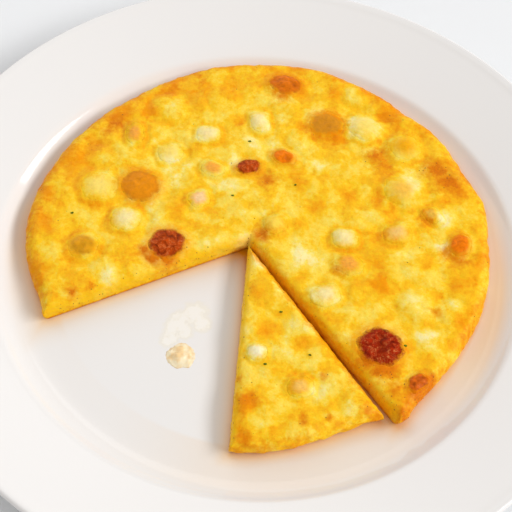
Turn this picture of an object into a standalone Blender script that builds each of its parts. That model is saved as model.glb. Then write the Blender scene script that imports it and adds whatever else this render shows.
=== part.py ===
"""Potato frittata on its plate.

A flat round frittata with a sector taken out of it and one narrow slice cut loose, lying on a
wide-rimmed porcelain dinner plate. Diced potato, chorizo, ham and onion sit in the egg and show
at its top. Units are metres, +Z is up, and the origin is the middle of the plate's underside.
"""
import math

import bmesh
import bpy
from mathutils import Vector, noise

MM = 0.001

# Plate: a flat well, a curved wall and a wide rim that rises gently to a rounded lip.
PLATE_RADIUS = 150.5 * MM
PLATE_STEPS = 72
WELL_FLOOR = 6.0 * MM
WELL_FLAT_RADIUS = 97.2 * MM
WALL_STEPS = 6
VERGE_RADIUS = 113.2 * MM
VERGE_HEIGHT = 15.0 * MM
LIP_HEIGHT = 21.5 * MM
LIP_ROUND = 1.6 * MM
PLATE_THICKNESS = 3.8 * MM
FOOT_OUTER_RADIUS = 88.0 * MM
FOOT_WIDTH = 4.0 * MM

# Frittata: a pancake with a rounded rim, draped a little way up the wall of the plate.
FOOD_X = 0.3 * MM
FOOD_Y = 6.9 * MM
FOOD_RADIUS = 100.0 * MM
FOOD_THICKNESS = 8.5 * MM
FOOD_STEPS = 96
RING_PITCH = 7.0 * MM
RIM_ROUND = 7.0 * MM
RIM_WAIST = 0.38
RIM_STEPS = 4
BED_GAP = 0.45 * MM
PIECE_GAP = 0.3 * MM

# Soft bulges (+) and dents (-) of the outline: angle in degrees, size, half width in degrees.
RIM_BULGES = (
    (15.0, 2.4 * MM, 7.0),
    (38.0, 1.0 * MM, 8.0),
    (49.0, -1.0 * MM, 6.0),
    (80.0, 1.2 * MM, 10.0),
    (130.0, -1.5 * MM, 13.0),
    (174.0, 1.8 * MM, 15.0),
    (201.0, -2.6 * MM, 9.0),
    (271.0, 1.3 * MM, 12.0),
    (295.0, -1.5 * MM, 10.0),
    (307.0, 2.8 * MM, 4.0),
    (325.0, -1.5 * MM, 14.0),
)

# The two knife cuts of the missing sector meet at this corner, measured from the food's middle.
# A cut leans back as it rises, by its lean at the top of the food.
CUT_CORNER = (-5.2 * MM, -0.4 * MM)
LEFT_CUT_ANGLE = 207.0
RIGHT_CUT_ANGLE = 308.0
LEFT_CUT_LEAN = 1.2 * MM
RIGHT_CUT_LEAN = 3.4 * MM

# The loose slice: its blunt tip, its two cuts, and how far it has slid from its old place.
SLICE_TIP = (-4.9 * MM, -1.9 * MM)
SLICE_LEFT_ANGLE = 268.4
SLICE_RIGHT_ANGLE = 306.2
SLICE_LEFT_LEAN = 2.0 * MM
SLICE_RIGHT_LEAN = 1.1 * MM
SLICE_SLIDE = (-3.5 * MM, 2.3 * MM)

# How a cut leans: height above the well floor as a share of the thickness, share of its lean.
CUT_LEVELS = ((-0.3, 0.0), (0.15, 0.0), (0.6, 0.22), (0.85, 0.58), (1.05, 1.0), (1.7, 2.6))
CUT_REACH = 260.0 * MM

# Relief of the egg: a slow swell, small curds, and a mound with a moat over each piece.
SWELL_HEIGHT = 0.9 * MM
SWELL_PITCH = 17.0 * MM
CURD_HEIGHT = 0.45 * MM
CURD_PITCH = 9.0 * MM
MOUND_HEIGHT = 0.75 * MM
MOAT_DEPTH = 0.45 * MM
MOAT_REACH = 1.45
MOAT_WIDTH = 0.3

# Pieces in the egg. Kinds: sides of the outline, squareness, depth, crown, edge share, wobble.
KINDS = {
    "potato": (12, 3.4, 5.2 * MM, 0.55 * MM, 0.16, 0.05),
    "chorizo": (16, 2.0, 3.6 * MM, 0.45 * MM, 0.10, 0.03),
    "ham": (10, 2.6, 3.2 * MM, 0.40 * MM, 0.16, 0.10),
    "onion": (14, 2.0, 2.6 * MM, 0.30 * MM, 0.12, 0.04),
}

# Name, kind, X and Y from the food's middle, length, width (mm), turn in degrees.
MAIN_PIECES = (
    ("potato_1", "potato", -72.0, 22.0, 15.5, 15.0, 8.0),
    ("potato_2", "potato", -58.6, 5.6, 12.5, 12.0, -12.0),
    ("potato_3", "potato", -26.0, 54.6, 11.0, 9.5, 4.0),
    ("potato_4", "potato", -2.9, 64.0, 13.0, 8.5, 105.0),
    ("potato_5", "potato", 36.8, 1.4, 11.0, 9.2, -8.0),
    ("potato_6", "potato", 29.0, -27.6, 12.0, 10.4, 32.0),
    ("potato_7", "potato", 6.4, 6.6, 10.0, 9.4, 20.0),
    ("potato_8", "potato", 45.0, 63.6, 16.0, 13.0, -40.0),
    ("potato_9", "potato", 63.6, 53.4, 13.5, 13.0, 35.0),
    ("potato_10", "potato", 62.0, 28.6, 16.0, 14.6, -20.0),
    ("potato_11", "potato", 59.5, 5.6, 13.0, 10.0, 12.0),
    ("potato_12", "potato", -42.5, 43.0, 11.0, 10.0, 25.0),
    ("chorizo_1", "chorizo", -54.0, 23.6, 17.4, 17.0, 0.0),
    ("chorizo_2", "chorizo", -39.8, -6.0, 16.4, 15.8, 10.0),
    ("chorizo_3", "chorizo", 52.0, -51.0, 20.4, 18.0, -20.0),
    ("chorizo_4", "chorizo", 8.0, 87.0, 16.8, 11.4, -12.0),
    ("chorizo_5", "chorizo", -7.0, 37.4, 11.6, 8.6, 18.0),
    ("chorizo_6", "chorizo", 8.6, 43.8, 11.4, 8.4, -24.0),
    ("chorizo_7", "chorizo", 27.6, 64.4, 16.0, 15.4, 0.0),
    ("chorizo_8", "chorizo", 86.4, 1.4, 12.0, 9.6, 80.0),
    ("chorizo_9", "chorizo", 66.4, -66.6, 9.6, 6.6, 42.0),
    ("ham_1", "ham", -59.4, 52.4, 13.0, 7.0, 96.0),
    ("ham_2", "ham", -23.0, 35.4, 11.4, 8.4, -16.0),
    ("ham_3", "ham", -27.4, 18.2, 9.6, 8.2, 40.0),
    ("ham_4", "ham", 38.8, -11.8, 12.0, 10.6, -36.0),
    ("ham_5", "ham", 74.6, 16.6, 9.0, 6.6, -60.0),
    ("onion_1", "onion", -75.4, -9.8, 13.2, 12.6, 0.0),
)
SLICE_PIECES = (
    ("potato_13", "potato", 1.4, -56.8, 7.6, 7.2, 2.0),
    ("ham_6", "ham", 19.6, -71.6, 11.0, 9.4, 30.0),
)

# A thin flake of potato that fell on the bare part of the well.
CRUMB_X = -28.8 * MM
CRUMB_Y = -49.3 * MM
CRUMB_SIZE = (12.4 * MM, 11.0 * MM, 2.6 * MM)

PORCELAIN = ("porcelain", "F4F1EE", 0.18)
EGG = ("egg", "F8C93A", 0.45)
PIECE_LOOKS = {
    "potato": ("potato", "FBE093", 0.50),
    "chorizo": ("chorizo", "A63C12", 0.35),
    "ham": ("ham", "F3B45C", 0.45),
    "onion": ("onion", "D9951F", 0.40),
}


def linear(channel):
    """Turn one sRGB channel, from 0 to 1, to linear light."""
    if channel <= 0.04045:
        return channel / 12.92
    return ((channel + 0.055) / 1.055) ** 2.4


def make_material(name, colour_hex, roughness):
    """Return the named Principled material, made once."""
    if name in bpy.data.materials:
        return bpy.data.materials[name]
    channels = [linear(int(colour_hex[i:i + 2], 16) / 255.0) for i in (0, 2, 4)]
    material = bpy.data.materials.new(name)
    material.use_nodes = True
    shader = material.node_tree.nodes["Principled BSDF"]
    shader.inputs["Base Color"].default_value = (*channels, 1.0)
    shader.inputs["Roughness"].default_value = roughness
    shader.inputs["Metallic"].default_value = 0.0
    return material


def make_collection(name):
    """Return a new collection linked to the scene."""
    collection = bpy.data.collections.new(name)
    bpy.context.scene.collection.children.link(collection)
    return collection


def add_object(name, mesh, collection, look=None):
    """Put a mesh in a collection as a named object."""
    item = bpy.data.objects.new(name, mesh)
    collection.objects.link(item)
    if look is not None:
        item.data.materials.clear()
        item.data.materials.append(make_material(*look))
    return item


def unit(angle_degrees):
    """Return the flat unit vector at an angle from +X."""
    angle = math.radians(angle_degrees)
    return Vector((math.cos(angle), math.sin(angle)))


def turned_mesh(name, profile, steps):
    """Turn a closed profile of (radius, height) points about Z and return the mesh."""
    outline = bpy.data.meshes.new(name + "_profile")
    edges = [(i, i + 1) for i in range(len(profile) - 1)]
    outline.from_pydata([(radius, 0.0, height) for radius, height in profile], edges, [])
    lathe = add_object(name + "_lathe", outline, bpy.context.scene.collection)
    screw = lathe.modifiers.new("Turn", "SCREW")
    screw.axis = "Z"
    screw.angle = 2.0 * math.pi
    screw.steps = steps
    screw.render_steps = steps
    screw.use_merge_vertices = True
    screw.merge_threshold = 0.00001
    evaluated = lathe.evaluated_get(bpy.context.evaluated_depsgraph_get())
    mesh = bpy.data.meshes.new_from_object(evaluated)
    mesh.name = name
    bpy.data.objects.remove(lathe)
    bpy.data.meshes.remove(outline)
    return mesh


def cut(item, cutter, operation="DIFFERENCE"):
    """Apply a Boolean with one cutter to an object's mesh."""
    step = item.modifiers.new("Cut", "BOOLEAN")
    step.object = cutter
    step.operation = operation
    step.solver = "EXACT"
    evaluated = item.evaluated_get(bpy.context.evaluated_depsgraph_get())
    result = bpy.data.meshes.new_from_object(evaluated)
    item.modifiers.clear()
    former = item.data
    item.data = result
    bpy.data.meshes.remove(former)


def wall_height(radius):
    """Height of the plate's upper face at a distance from its middle."""
    if radius <= WELL_FLAT_RADIUS:
        return WELL_FLOOR
    if radius <= VERGE_RADIUS:
        share = (radius - WELL_FLAT_RADIUS) / (VERGE_RADIUS - WELL_FLAT_RADIUS)
        rise = VERGE_HEIGHT - WELL_FLOOR
        return WELL_FLOOR + rise * (1.0 - math.cos(share * math.pi / 2.0))
    share = (radius - VERGE_RADIUS) / (PLATE_RADIUS - VERGE_RADIUS)
    return VERGE_HEIGHT + (LIP_HEIGHT - VERGE_HEIGHT) * share


def plate_profile():
    """Return the plate's outline, from the middle of the well round the lip to the foot."""
    profile = [(0.0, WELL_FLOOR)]
    for step in range(WALL_STEPS + 1):
        share = step / WALL_STEPS
        radius = WELL_FLAT_RADIUS + share * (VERGE_RADIUS - WELL_FLAT_RADIUS)
        profile.append((radius, wall_height(radius)))
    lip_radius = PLATE_RADIUS - LIP_ROUND
    lip_middle = LIP_HEIGHT - LIP_ROUND
    for angle in (90.0, 45.0, 0.0, -50.0):
        direction = unit(angle)
        profile.append((lip_radius + LIP_ROUND * direction.x, lip_middle + LIP_ROUND * direction.y))
    under_verge = VERGE_HEIGHT - PLATE_THICKNESS
    foot_outer = FOOT_OUTER_RADIUS
    foot_inner = FOOT_OUTER_RADIUS - FOOT_WIDTH
    base_under = WELL_FLOOR - PLATE_THICKNESS
    profile += [
        (VERGE_RADIUS + PLATE_THICKNESS, under_verge + 0.3 * MM),
        (WELL_FLAT_RADIUS + 2.0 * PLATE_THICKNESS, base_under + 2.2 * MM),
        (foot_outer + 2.0 * MM, base_under),
        (foot_outer, 0.0),
        (foot_inner, 0.0),
        (foot_inner - 1.5 * MM, base_under),
        (0.0, base_under),
    ]
    return profile


def rim_radius(angle_degrees):
    """Radius of the frittata's uneven outline at an angle about its middle."""
    radius = FOOD_RADIUS
    for middle, size, half_width in RIM_BULGES:
        turn = (angle_degrees - middle + 180.0) % 360.0 - 180.0
        radius += size * math.exp(-(turn / half_width) ** 2)
    return radius


def rim_share(radius):
    """Share of the full thickness left at a radius of the even, round pancake."""
    past = (radius - (FOOD_RADIUS - RIM_ROUND)) / RIM_ROUND
    if past <= 0.0:
        return 1.0
    return RIM_WAIST + (1.0 - RIM_WAIST) * math.sqrt(max(0.0, 1.0 - past * past))


def pancake_profile():
    """Return the outline of the even pancake, from its top middle round its rim."""
    flat_radius = FOOD_RADIUS - RIM_ROUND
    rings = round(flat_radius / RING_PITCH)
    profile = [(flat_radius * ring / rings, FOOD_THICKNESS) for ring in range(rings + 1)]
    for step in range(1, RIM_STEPS + 1):
        direction = unit(90.0 - 90.0 * step / RIM_STEPS)
        height = RIM_WAIST + (1.0 - RIM_WAIST) * direction.y
        profile.append((flat_radius + RIM_ROUND * direction.x, FOOD_THICKNESS * height))
    profile.append((FOOD_RADIUS - 0.10 * RIM_ROUND, 0.12 * FOOD_THICKNESS))
    profile.append((FOOD_RADIUS - 0.35 * RIM_ROUND, 0.0))
    for share in (0.92, 0.86, 0.78, 0.45, 0.0):
        profile.append((FOOD_RADIUS * share, 0.0))
    return profile


def bed_height(x, y):
    """Height of the frittata's underside, which follows the plate."""
    return wall_height(math.hypot(x, y)) + BED_GAP


def piece_distance(piece, x, y):
    """Distance from a piece's middle, with 1 on its outline, at a place in the plate's frame."""
    _, _, piece_x, piece_y, length, width, turn = piece
    along = unit(turn)
    offset = Vector((x - FOOD_X - piece_x * MM, y - FOOD_Y - piece_y * MM))
    forward = offset.dot(along) / (0.5 * length * MM)
    sideways = (offset.y * along.x - offset.x * along.y) / (0.5 * width * MM)
    return math.hypot(forward, sideways)


def relief(x, y):
    """Unevenness of the frittata's upper face."""
    height = SWELL_HEIGHT * noise.noise(Vector((x, y, 0.0)) / SWELL_PITCH)
    height += CURD_HEIGHT * noise.noise(Vector((x, y, 0.31)) / CURD_PITCH)
    for piece in MAIN_PIECES + SLICE_PIECES:
        distance = piece_distance(piece, x, y)
        height += MOUND_HEIGHT * math.exp(-distance ** 4)
        height -= MOAT_DEPTH * math.exp(-((distance - MOAT_REACH) / MOAT_WIDTH) ** 2)
    return height


def top_height(x, y):
    """Height of the frittata's upper face at a place in the plate's frame."""
    offset = Vector((x - FOOD_X, y - FOOD_Y))
    angle = math.degrees(math.atan2(offset.y, offset.x))
    even_radius = offset.length * FOOD_RADIUS / rim_radius(angle)
    return bed_height(x, y) + FOOD_THICKNESS * rim_share(even_radius) + relief(x, y)


def add_pancake(name, slide, collection):
    """Add the whole uneven pancake, with its middle slid by a small step."""
    mesh = turned_mesh(name, pancake_profile(), FOOD_STEPS)
    for vertex in mesh.vertices:
        place = vertex.co
        stretch = rim_radius(math.degrees(math.atan2(place.y, place.x))) / FOOD_RADIUS
        x = FOOD_X + slide[0] + place.x * stretch
        y = FOOD_Y + slide[1] + place.y * stretch
        share = place.z / FOOD_THICKNESS
        vertex.co = (x, y, bed_height(x, y) + place.z + share * relief(x, y))
    return add_object(name, mesh, collection, EGG)


def leaning_corner(corner, left_normal, right_normal, left_lean, right_lean):
    """Where two cuts meet once each has moved along its normal by its lean."""
    across = left_normal.x * right_normal.y - left_normal.y * right_normal.x
    x = (left_lean * right_normal.y - right_lean * left_normal.y) / across
    y = (left_normal.x * right_lean - right_normal.x * left_lean) / across
    return Vector((FOOD_X + corner[0] + x, FOOD_Y + corner[1] + y))


def add_wedge(name, corner, angles, leans, outward, collection):
    """Add a wedge-shaped cutter between two cuts that lean as they rise.

    The outward flag is 1 for a wedge that widens as it rises and -1 for one that narrows.
    """
    left, right = unit(angles[0]), unit(angles[1])
    left_normal = unit(angles[0] - 90.0) * outward
    right_normal = unit(angles[1] + 90.0) * outward
    bm = bmesh.new()
    level = bmesh.ops.create_circle(bm, cap_ends=True, segments=3, radius=1.0)["verts"]
    cap = bm.faces[:]
    for index, (height_share, lean_share) in enumerate(CUT_LEVELS):
        if index > 0:
            grown = bmesh.ops.extrude_face_region(bm, geom=cap)["geom"]
            if index > 1:
                bmesh.ops.delete(bm, geom=cap, context="FACES_ONLY")
            level = [item for item in grown if isinstance(item, bmesh.types.BMVert)]
            cap = [item for item in grown if isinstance(item, bmesh.types.BMFace)]
        level.sort(key=lambda vert: vert.co.to_tuple())
        point = leaning_corner(
            corner, left_normal, right_normal, leans[0] * lean_share, leans[1] * lean_share)
        ends = [point, point + left * CUT_REACH, point + right * CUT_REACH]
        ends.sort(key=lambda end: end.to_tuple())
        height = WELL_FLOOR + FOOD_THICKNESS * height_share
        for vert, end in zip(level, ends):
            vert.co = (end.x, end.y, height)
    bmesh.ops.recalc_face_normals(bm, faces=bm.faces)
    mesh = bpy.data.meshes.new(name)
    bm.to_mesh(mesh)
    bm.free()
    return add_object(name, mesh, collection)


def piece_outline(angle, squareness, wobble, seed):
    """Radius of a piece's outline, 1 for a circle, blending towards a rounded square."""
    square = abs(math.cos(angle)) ** squareness + abs(math.sin(angle)) ** squareness
    around = Vector((math.cos(angle), math.sin(angle), seed))
    return square ** (-1.0 / squareness) * (1.0 + wobble * noise.noise(around * 1.7))


def add_piece(piece, margin, collection):
    """Add one piece, or with a margin the cutter for its pocket."""
    name, kind, piece_x, piece_y, length, width, turn = piece
    sides, squareness, depth, crown, edge, wobble = KINDS[kind]
    is_cutter = margin > 0.0
    bm = bmesh.new()
    bmesh.ops.create_cone(
        bm, cap_ends=True, cap_tris=True, segments=sides, radius1=1.0, radius2=1.0, depth=1.0)
    if not is_cutter:
        rim = [e for e in bm.edges if all(v.co.z > 0.4 and v.co.xy.length > 0.5 for v in e.verts)]
        bmesh.ops.bevel(bm, geom=rim, offset=edge, segments=1, affect="EDGES")
    seed = 10.0 + 3.0 * length + width
    along = unit(turn)
    for vert in bm.verts:
        spread = vert.co.xy.length
        angle = math.atan2(vert.co.y, vert.co.x)
        radius = spread * piece_outline(angle, squareness, wobble, seed)
        forward = radius * math.cos(angle) * (0.5 * length * MM + margin)
        sideways = radius * math.sin(angle) * (0.5 * width * MM + margin)
        x = FOOD_X + piece_x * MM + forward * along.x - sideways * along.y
        y = FOOD_Y + piece_y * MM + forward * along.y + sideways * along.x
        middle_height = top_height(FOOD_X + piece_x * MM, FOOD_Y + piece_y * MM)
        below = 0.5 - vert.co.z
        floor = middle_height - depth - margin
        if is_cutter:
            height = floor if below > 0.5 else middle_height + depth
        else:
            surface = top_height(x, y) + crown * (1.0 - 1.3 * spread * spread)
            height = surface + (floor - surface) * below
        vert.co = (x, y, height)
    mesh = bpy.data.meshes.new(name)
    bm.to_mesh(mesh)
    bm.free()
    return add_object(name, mesh, collection, None if is_cutter else PIECE_LOOKS[kind])


def add_plate(collection):
    """Add the plate as one turned piece."""
    mesh = turned_mesh("plate", plate_profile(), PLATE_STEPS)
    mesh.shade_smooth()
    mesh.set_sharp_from_angle(angle=math.radians(35.0))
    return add_object("plate", mesh, collection, PORCELAIN)


def add_food(name, slide, wedge, operation, pieces, collections):
    """Add one body of egg with its knife cuts, its pockets and the pieces in them."""
    parts, cutters = collections
    body = add_pancake(name, slide, parts)
    cut(body, wedge, operation)
    for piece in pieces:
        pocket = add_piece(piece, PIECE_GAP, cutters)
        pocket.name = piece[0] + "_pocket"
        cut(body, pocket)
        add_piece(piece, 0.0, parts)
    return body


def add_crumb(collection):
    """Add the fallen crumb as an uneven little block resting on the well floor."""
    bm = bmesh.new()
    bmesh.ops.create_icosphere(bm, subdivisions=2, radius=0.5)
    for vert in bm.verts:
        uneven = 1.0 + 0.22 * noise.noise(vert.co * 3.1)
        x, y, z = vert.co * uneven
        height = max(z, -0.32) + 0.32
        vert.co = (
            CRUMB_X + x * CRUMB_SIZE[0],
            CRUMB_Y + y * CRUMB_SIZE[1],
            WELL_FLOOR + PIECE_GAP + height * CRUMB_SIZE[2],
        )
    mesh = bpy.data.meshes.new("potato_crumb")
    bm.to_mesh(mesh)
    bm.free()
    return add_object("potato_crumb", mesh, collection, PIECE_LOOKS["potato"])


def main():
    """Build the whole part."""
    for item in list(bpy.data.objects):
        bpy.data.objects.remove(item)
    parts = make_collection("potato_frittata")
    cutters = make_collection("cutters")
    add_plate(parts)
    missing_sector = add_wedge(
        "missing_sector", CUT_CORNER, (LEFT_CUT_ANGLE, RIGHT_CUT_ANGLE),
        (LEFT_CUT_LEAN, RIGHT_CUT_LEAN), 1, cutters)
    slice_wedge = add_wedge(
        "slice_wedge", SLICE_TIP, (SLICE_LEFT_ANGLE, SLICE_RIGHT_ANGLE),
        (SLICE_LEFT_LEAN, SLICE_RIGHT_LEAN), -1, cutters)
    both = (parts, cutters)
    add_food("frittata", (0.0, 0.0), missing_sector, "DIFFERENCE", MAIN_PIECES, both)
    add_food("frittata_slice", SLICE_SLIDE, slice_wedge, "INTERSECT", SLICE_PIECES, both)
    add_crumb(parts)
    for cutter in cutters.objects:
        cutter.hide_render = True
        cutter.display_type = "WIRE"


main()
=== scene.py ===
"""Potato frittata on its plate: the finished look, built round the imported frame.

The egg, the diced pieces in it, the plate and the small bits on top are made here as fine meshes
with procedural materials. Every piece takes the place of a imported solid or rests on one. Units are
metres, +Z is up, and the origin is the middle of the plate's underside.
"""
import math

import bmesh
import bpy
import numpy as np
from bpy.props import FloatProperty, FloatVectorProperty, IntProperty, PointerProperty
from mathutils import Matrix, Vector, geometry, noise


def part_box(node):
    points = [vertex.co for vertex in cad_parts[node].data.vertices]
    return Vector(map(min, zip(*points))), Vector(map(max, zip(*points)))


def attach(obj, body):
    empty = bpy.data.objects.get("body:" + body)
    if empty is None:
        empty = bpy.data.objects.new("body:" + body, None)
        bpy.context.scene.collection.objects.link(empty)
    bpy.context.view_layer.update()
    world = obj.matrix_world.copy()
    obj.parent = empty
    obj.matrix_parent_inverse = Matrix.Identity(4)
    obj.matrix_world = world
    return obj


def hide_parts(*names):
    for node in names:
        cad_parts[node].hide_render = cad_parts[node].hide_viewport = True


bl_info = {
    "name": "Potato Frittata",
    "version": (1, 0, 0),
    "blender": (4, 5, 0),
    "location": "View3D > Sidebar > Frittata",
    "description": "Builds a potato frittata with its pieces on a white plate",
    "category": "Object",
}

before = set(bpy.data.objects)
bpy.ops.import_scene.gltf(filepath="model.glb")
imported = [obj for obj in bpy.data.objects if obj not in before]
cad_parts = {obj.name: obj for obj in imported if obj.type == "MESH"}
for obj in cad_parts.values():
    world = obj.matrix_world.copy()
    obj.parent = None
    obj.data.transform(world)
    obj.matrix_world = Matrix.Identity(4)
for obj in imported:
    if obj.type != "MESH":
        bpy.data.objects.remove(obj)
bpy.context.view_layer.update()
MM = 0.001

# Plate: a flat well, a curved wall and a wide rim that rises gently to a rounded lip.
PLATE_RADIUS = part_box("plate")[1].x
LIP_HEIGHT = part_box("plate")[1].z
WELL_FLOOR = 6.0 * MM
WELL_FLAT_RADIUS = 97.2 * MM
WALL_STEEPENING = 3.0
VERGE_RADIUS = 113.2 * MM
VERGE_HEIGHT = 11.5 * MM
LIP_ROUND = 1.6 * MM
PLATE_THICKNESS = 3.8 * MM
FOOT_OUTER_RADIUS = 88.0 * MM
FOOT_WIDTH = 4.0 * MM

# Frittata: a pancake with a rounded rim, draped a little way up the wall of the plate.
FOOD_MIDDLE = np.array([0.3, 6.9]) * MM
FOOD_RADIUS = 100.0 * MM
FOOD_THICKNESS = 8.5 * MM
RIM_ROUND = 5.6 * MM
RIM_WAIST = 0.38
BED_GAP = 0.45 * MM
CUT_LENGTH = 97.0 * MM

# Soft bulges (+) and dents (-) of the outline: angle in degrees, size, half width in degrees.
RIM_BULGES = (
    (95.0, 0.6 * MM, 50.0),
    (15.0, 2.4 * MM, 7.0),
    (38.0, 1.0 * MM, 8.0),
    (49.0, -1.0 * MM, 6.0),
    (80.0, 1.2 * MM, 10.0),
    (130.0, -1.5 * MM, 13.0),
    (174.0, 1.8 * MM, 15.0),
    (201.0, -2.6 * MM, 9.0),
    (271.0, 1.3 * MM, 12.0),
    (295.0, -1.5 * MM, 10.0),
    (307.0, 2.8 * MM, 4.0),
    (325.0, -1.5 * MM, 14.0),
)

# Each body of egg, named for its node: the corner where its two cuts meet, from the food's
# middle, the cuts in the order that the outline runs (angle, lean at the top, drop of the
# shoulder), how strongly the upper edge of each is painted brown as shade of the gap between the
# bodies, the sweep of the food and how far it has slid.
BODIES = {
    "frittata": {
        "corner": np.array([-5.2, -0.4]) * MM,
        "cuts": ((308.0, 3.4 * MM, 0.9 * MM), (207.0, 1.2 * MM, 1.3 * MM)),
        "browned": (0.2, 0.0),
        "sweep": 259.0,
        "slide": np.array([0.0, 0.0]) * MM,
    },
    "frittata_slice": {
        "corner": np.array([-4.9, -1.9]) * MM,
        "cuts": ((268.4, 2.0 * MM, 1.3 * MM), (306.6, 1.2 * MM, 2.7 * MM)),
        "browned": (0.0, 0.55),
        "sweep": 37.8,
        "slide": np.array([-3.5, 2.3]) * MM,
    },
}

# Relief of the egg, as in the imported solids: a swell, curds, and a mound and moat round a piece.
SWELL_HEIGHT = 0.9 * MM
SWELL_PITCH = 17.0 * MM
CURD_HEIGHT = 0.45 * MM
CURD_PITCH = 9.0 * MM
MOUND_HEIGHT = 0.90 * MM
MOAT_DEPTH = 0.40 * MM
MOAT_REACH = 1.45
MOAT_WIDTH = 0.3
SUNK_UNDER_PIECE = 1.6 * MM
# Shares of a piece's radius up to which the egg has sunk under it, and over which it comes up.
SUNK_UP_TO = 0.82
SUNK_FADE = 0.16
# Height in the noise at which the solids' pattern of curds is read, and depth of the moat round a
# hidden lump as a share of the lump's own height.
CURD_SHIFT = 0.31 * MM
LUMP_MOAT = 0.4
# How far from its middle a piece still shapes and colours the egg.
PIECE_REACH = 25.0 * MM

# Mesh of a body of egg: levels of its sides, spacing of the points below, length at a corner over
# which the section of a cut turns into the rim's, and how its upright edges are rounded off.
SIDE_LEVELS = 22
UNDERSIDE_STEP = 3.0 * MM
CORNER_BLEND = 5.0 * MM
EDGE_ROUND = 3.0 * MM
EDGE_ROUNDS = 16

# Lumps that push the egg up without showing: X and Y from the food's middle, radius, height (mm).
HIDDEN_LUMPS = (
    (-45.0, 69.0, 7.0, 1.0),
    (41.0, 82.0, 5.0, 0.8),
    (80.0, 16.0, 5.0, 0.7),
    (68.0, -30.0, 7.0, 0.8),
    (81.0, -32.0, 5.0, 0.7),
    (52.0, 17.0, 6.0, 0.6),
    (-9.0, 11.0, 5.0, 0.4),
    (19.0, -45.0, 6.0, 0.6),
    (5.0, -27.0, 6.0, 0.5),
    (43.0, -78.0, 6.0, 0.5),
    (8.0, -78.0, 6.0, 0.5),
    (-65.0, -20.0, 5.0, 0.5),
    (16.0, 55.0, 5.0, 0.5),
    (69.0, -12.0, 6.0, 0.6),
    (-20.0, 76.0, 6.0, 0.5),
    (-74.0, 39.0, 5.0, 0.4),
)

# How far a spot of colour spreads past the radius that its table gives.
SPOT_SPREAD = 1.1
# Golden hollows, partly where the egg set deep and partly painted shade on the shaded side of lumps:
# X, Y, radius (mm), strength.
GOLDEN_AND_SHADED_HOLLOWS = (
    (17.0, 60.0, 5.0, 0.9), (31.0, 82.0, 5.0, 0.9), (34.0, 57.0, 4.5, 1.0),
    (54.0, 71.0, 5.0, 1.0), (59.0, 66.0, 4.5, 0.9), (73.0, 59.0, 5.0, 0.7),
    (-54.0, 66.0, 4.5, 0.9), (-45.0, 79.0, 5.0, 0.8), (-34.0, 47.0, 4.0, 0.8),
    (-12.0, 62.0, 4.0, 0.5), (-24.0, 77.0, 8.0, 0.6), (-36.0, 15.0, 6.0, 0.8),
    (-76.0, 30.0, 4.0, 0.5), (-73.0, 12.0, 4.0, 0.7), (-67.0, 2.0, 4.0, 0.6),
    (-57.0, -17.0, 4.0, 0.7), (-97.0, 5.0, 5.0, 0.8),
    (-95.0, 19.0, 5.0, 0.7), (-93.0, 31.0, 5.0, 0.7), (-91.0, -27.0, 4.0, 0.7),
    (17.0, 8.0, 4.0, 0.8), (25.0, 17.0, 5.0, 0.5), (39.0, 25.0, 3.5, 0.6), (16.0, 32.0, 5.0, 0.5),
    (50.0, 5.0, 4.0, 0.6), (30.0, -2.0, 4.0, 0.6), (52.0, -21.0, 6.5, 0.8),
    (49.0, -12.0, 5.0, 0.5), (31.0, -38.0, 4.5, 0.7), (82.0, -9.0, 4.0, 0.7),
    (84.0, -21.0, 4.5, 0.8), (81.0, -48.0, 4.5, 0.8), (70.0, -57.0, 4.5, 0.7),
    (72.0, 15.0, 4.5, 0.7), (79.0, 26.0, 4.0, 0.6), (75.0, 52.0, 5.0, 0.8),
    (72.0, -11.0, 5.0, 0.6), (57.0, 18.0, 3.5, 0.9), (63.0, 1.0, 4.0, 0.7),
    (-1.0, -28.0, 4.0, 0.5), (5.0, -46.0, 5.0, 0.7),
    (12.0, -36.0, 4.0, 0.5), (19.0, -50.0, 4.0, 0.5), (-2.0, -79.0, 5.5, 0.9),
    (51.0, 22.0, 4.0, 0.8), (60.0, 50.0, 4.0, 0.6), (11.0, -2.0, 3.5, 0.6),
    (-41.0, 67.0, 4.0, 0.6), (33.0, 67.0, 4.0, 0.6),
    (-2.0, -95.0, 4.5, 0.8), (8.0, -80.0, 4.0, 0.5), (9.0, -62.0, 4.0, 0.5),
)
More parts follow.
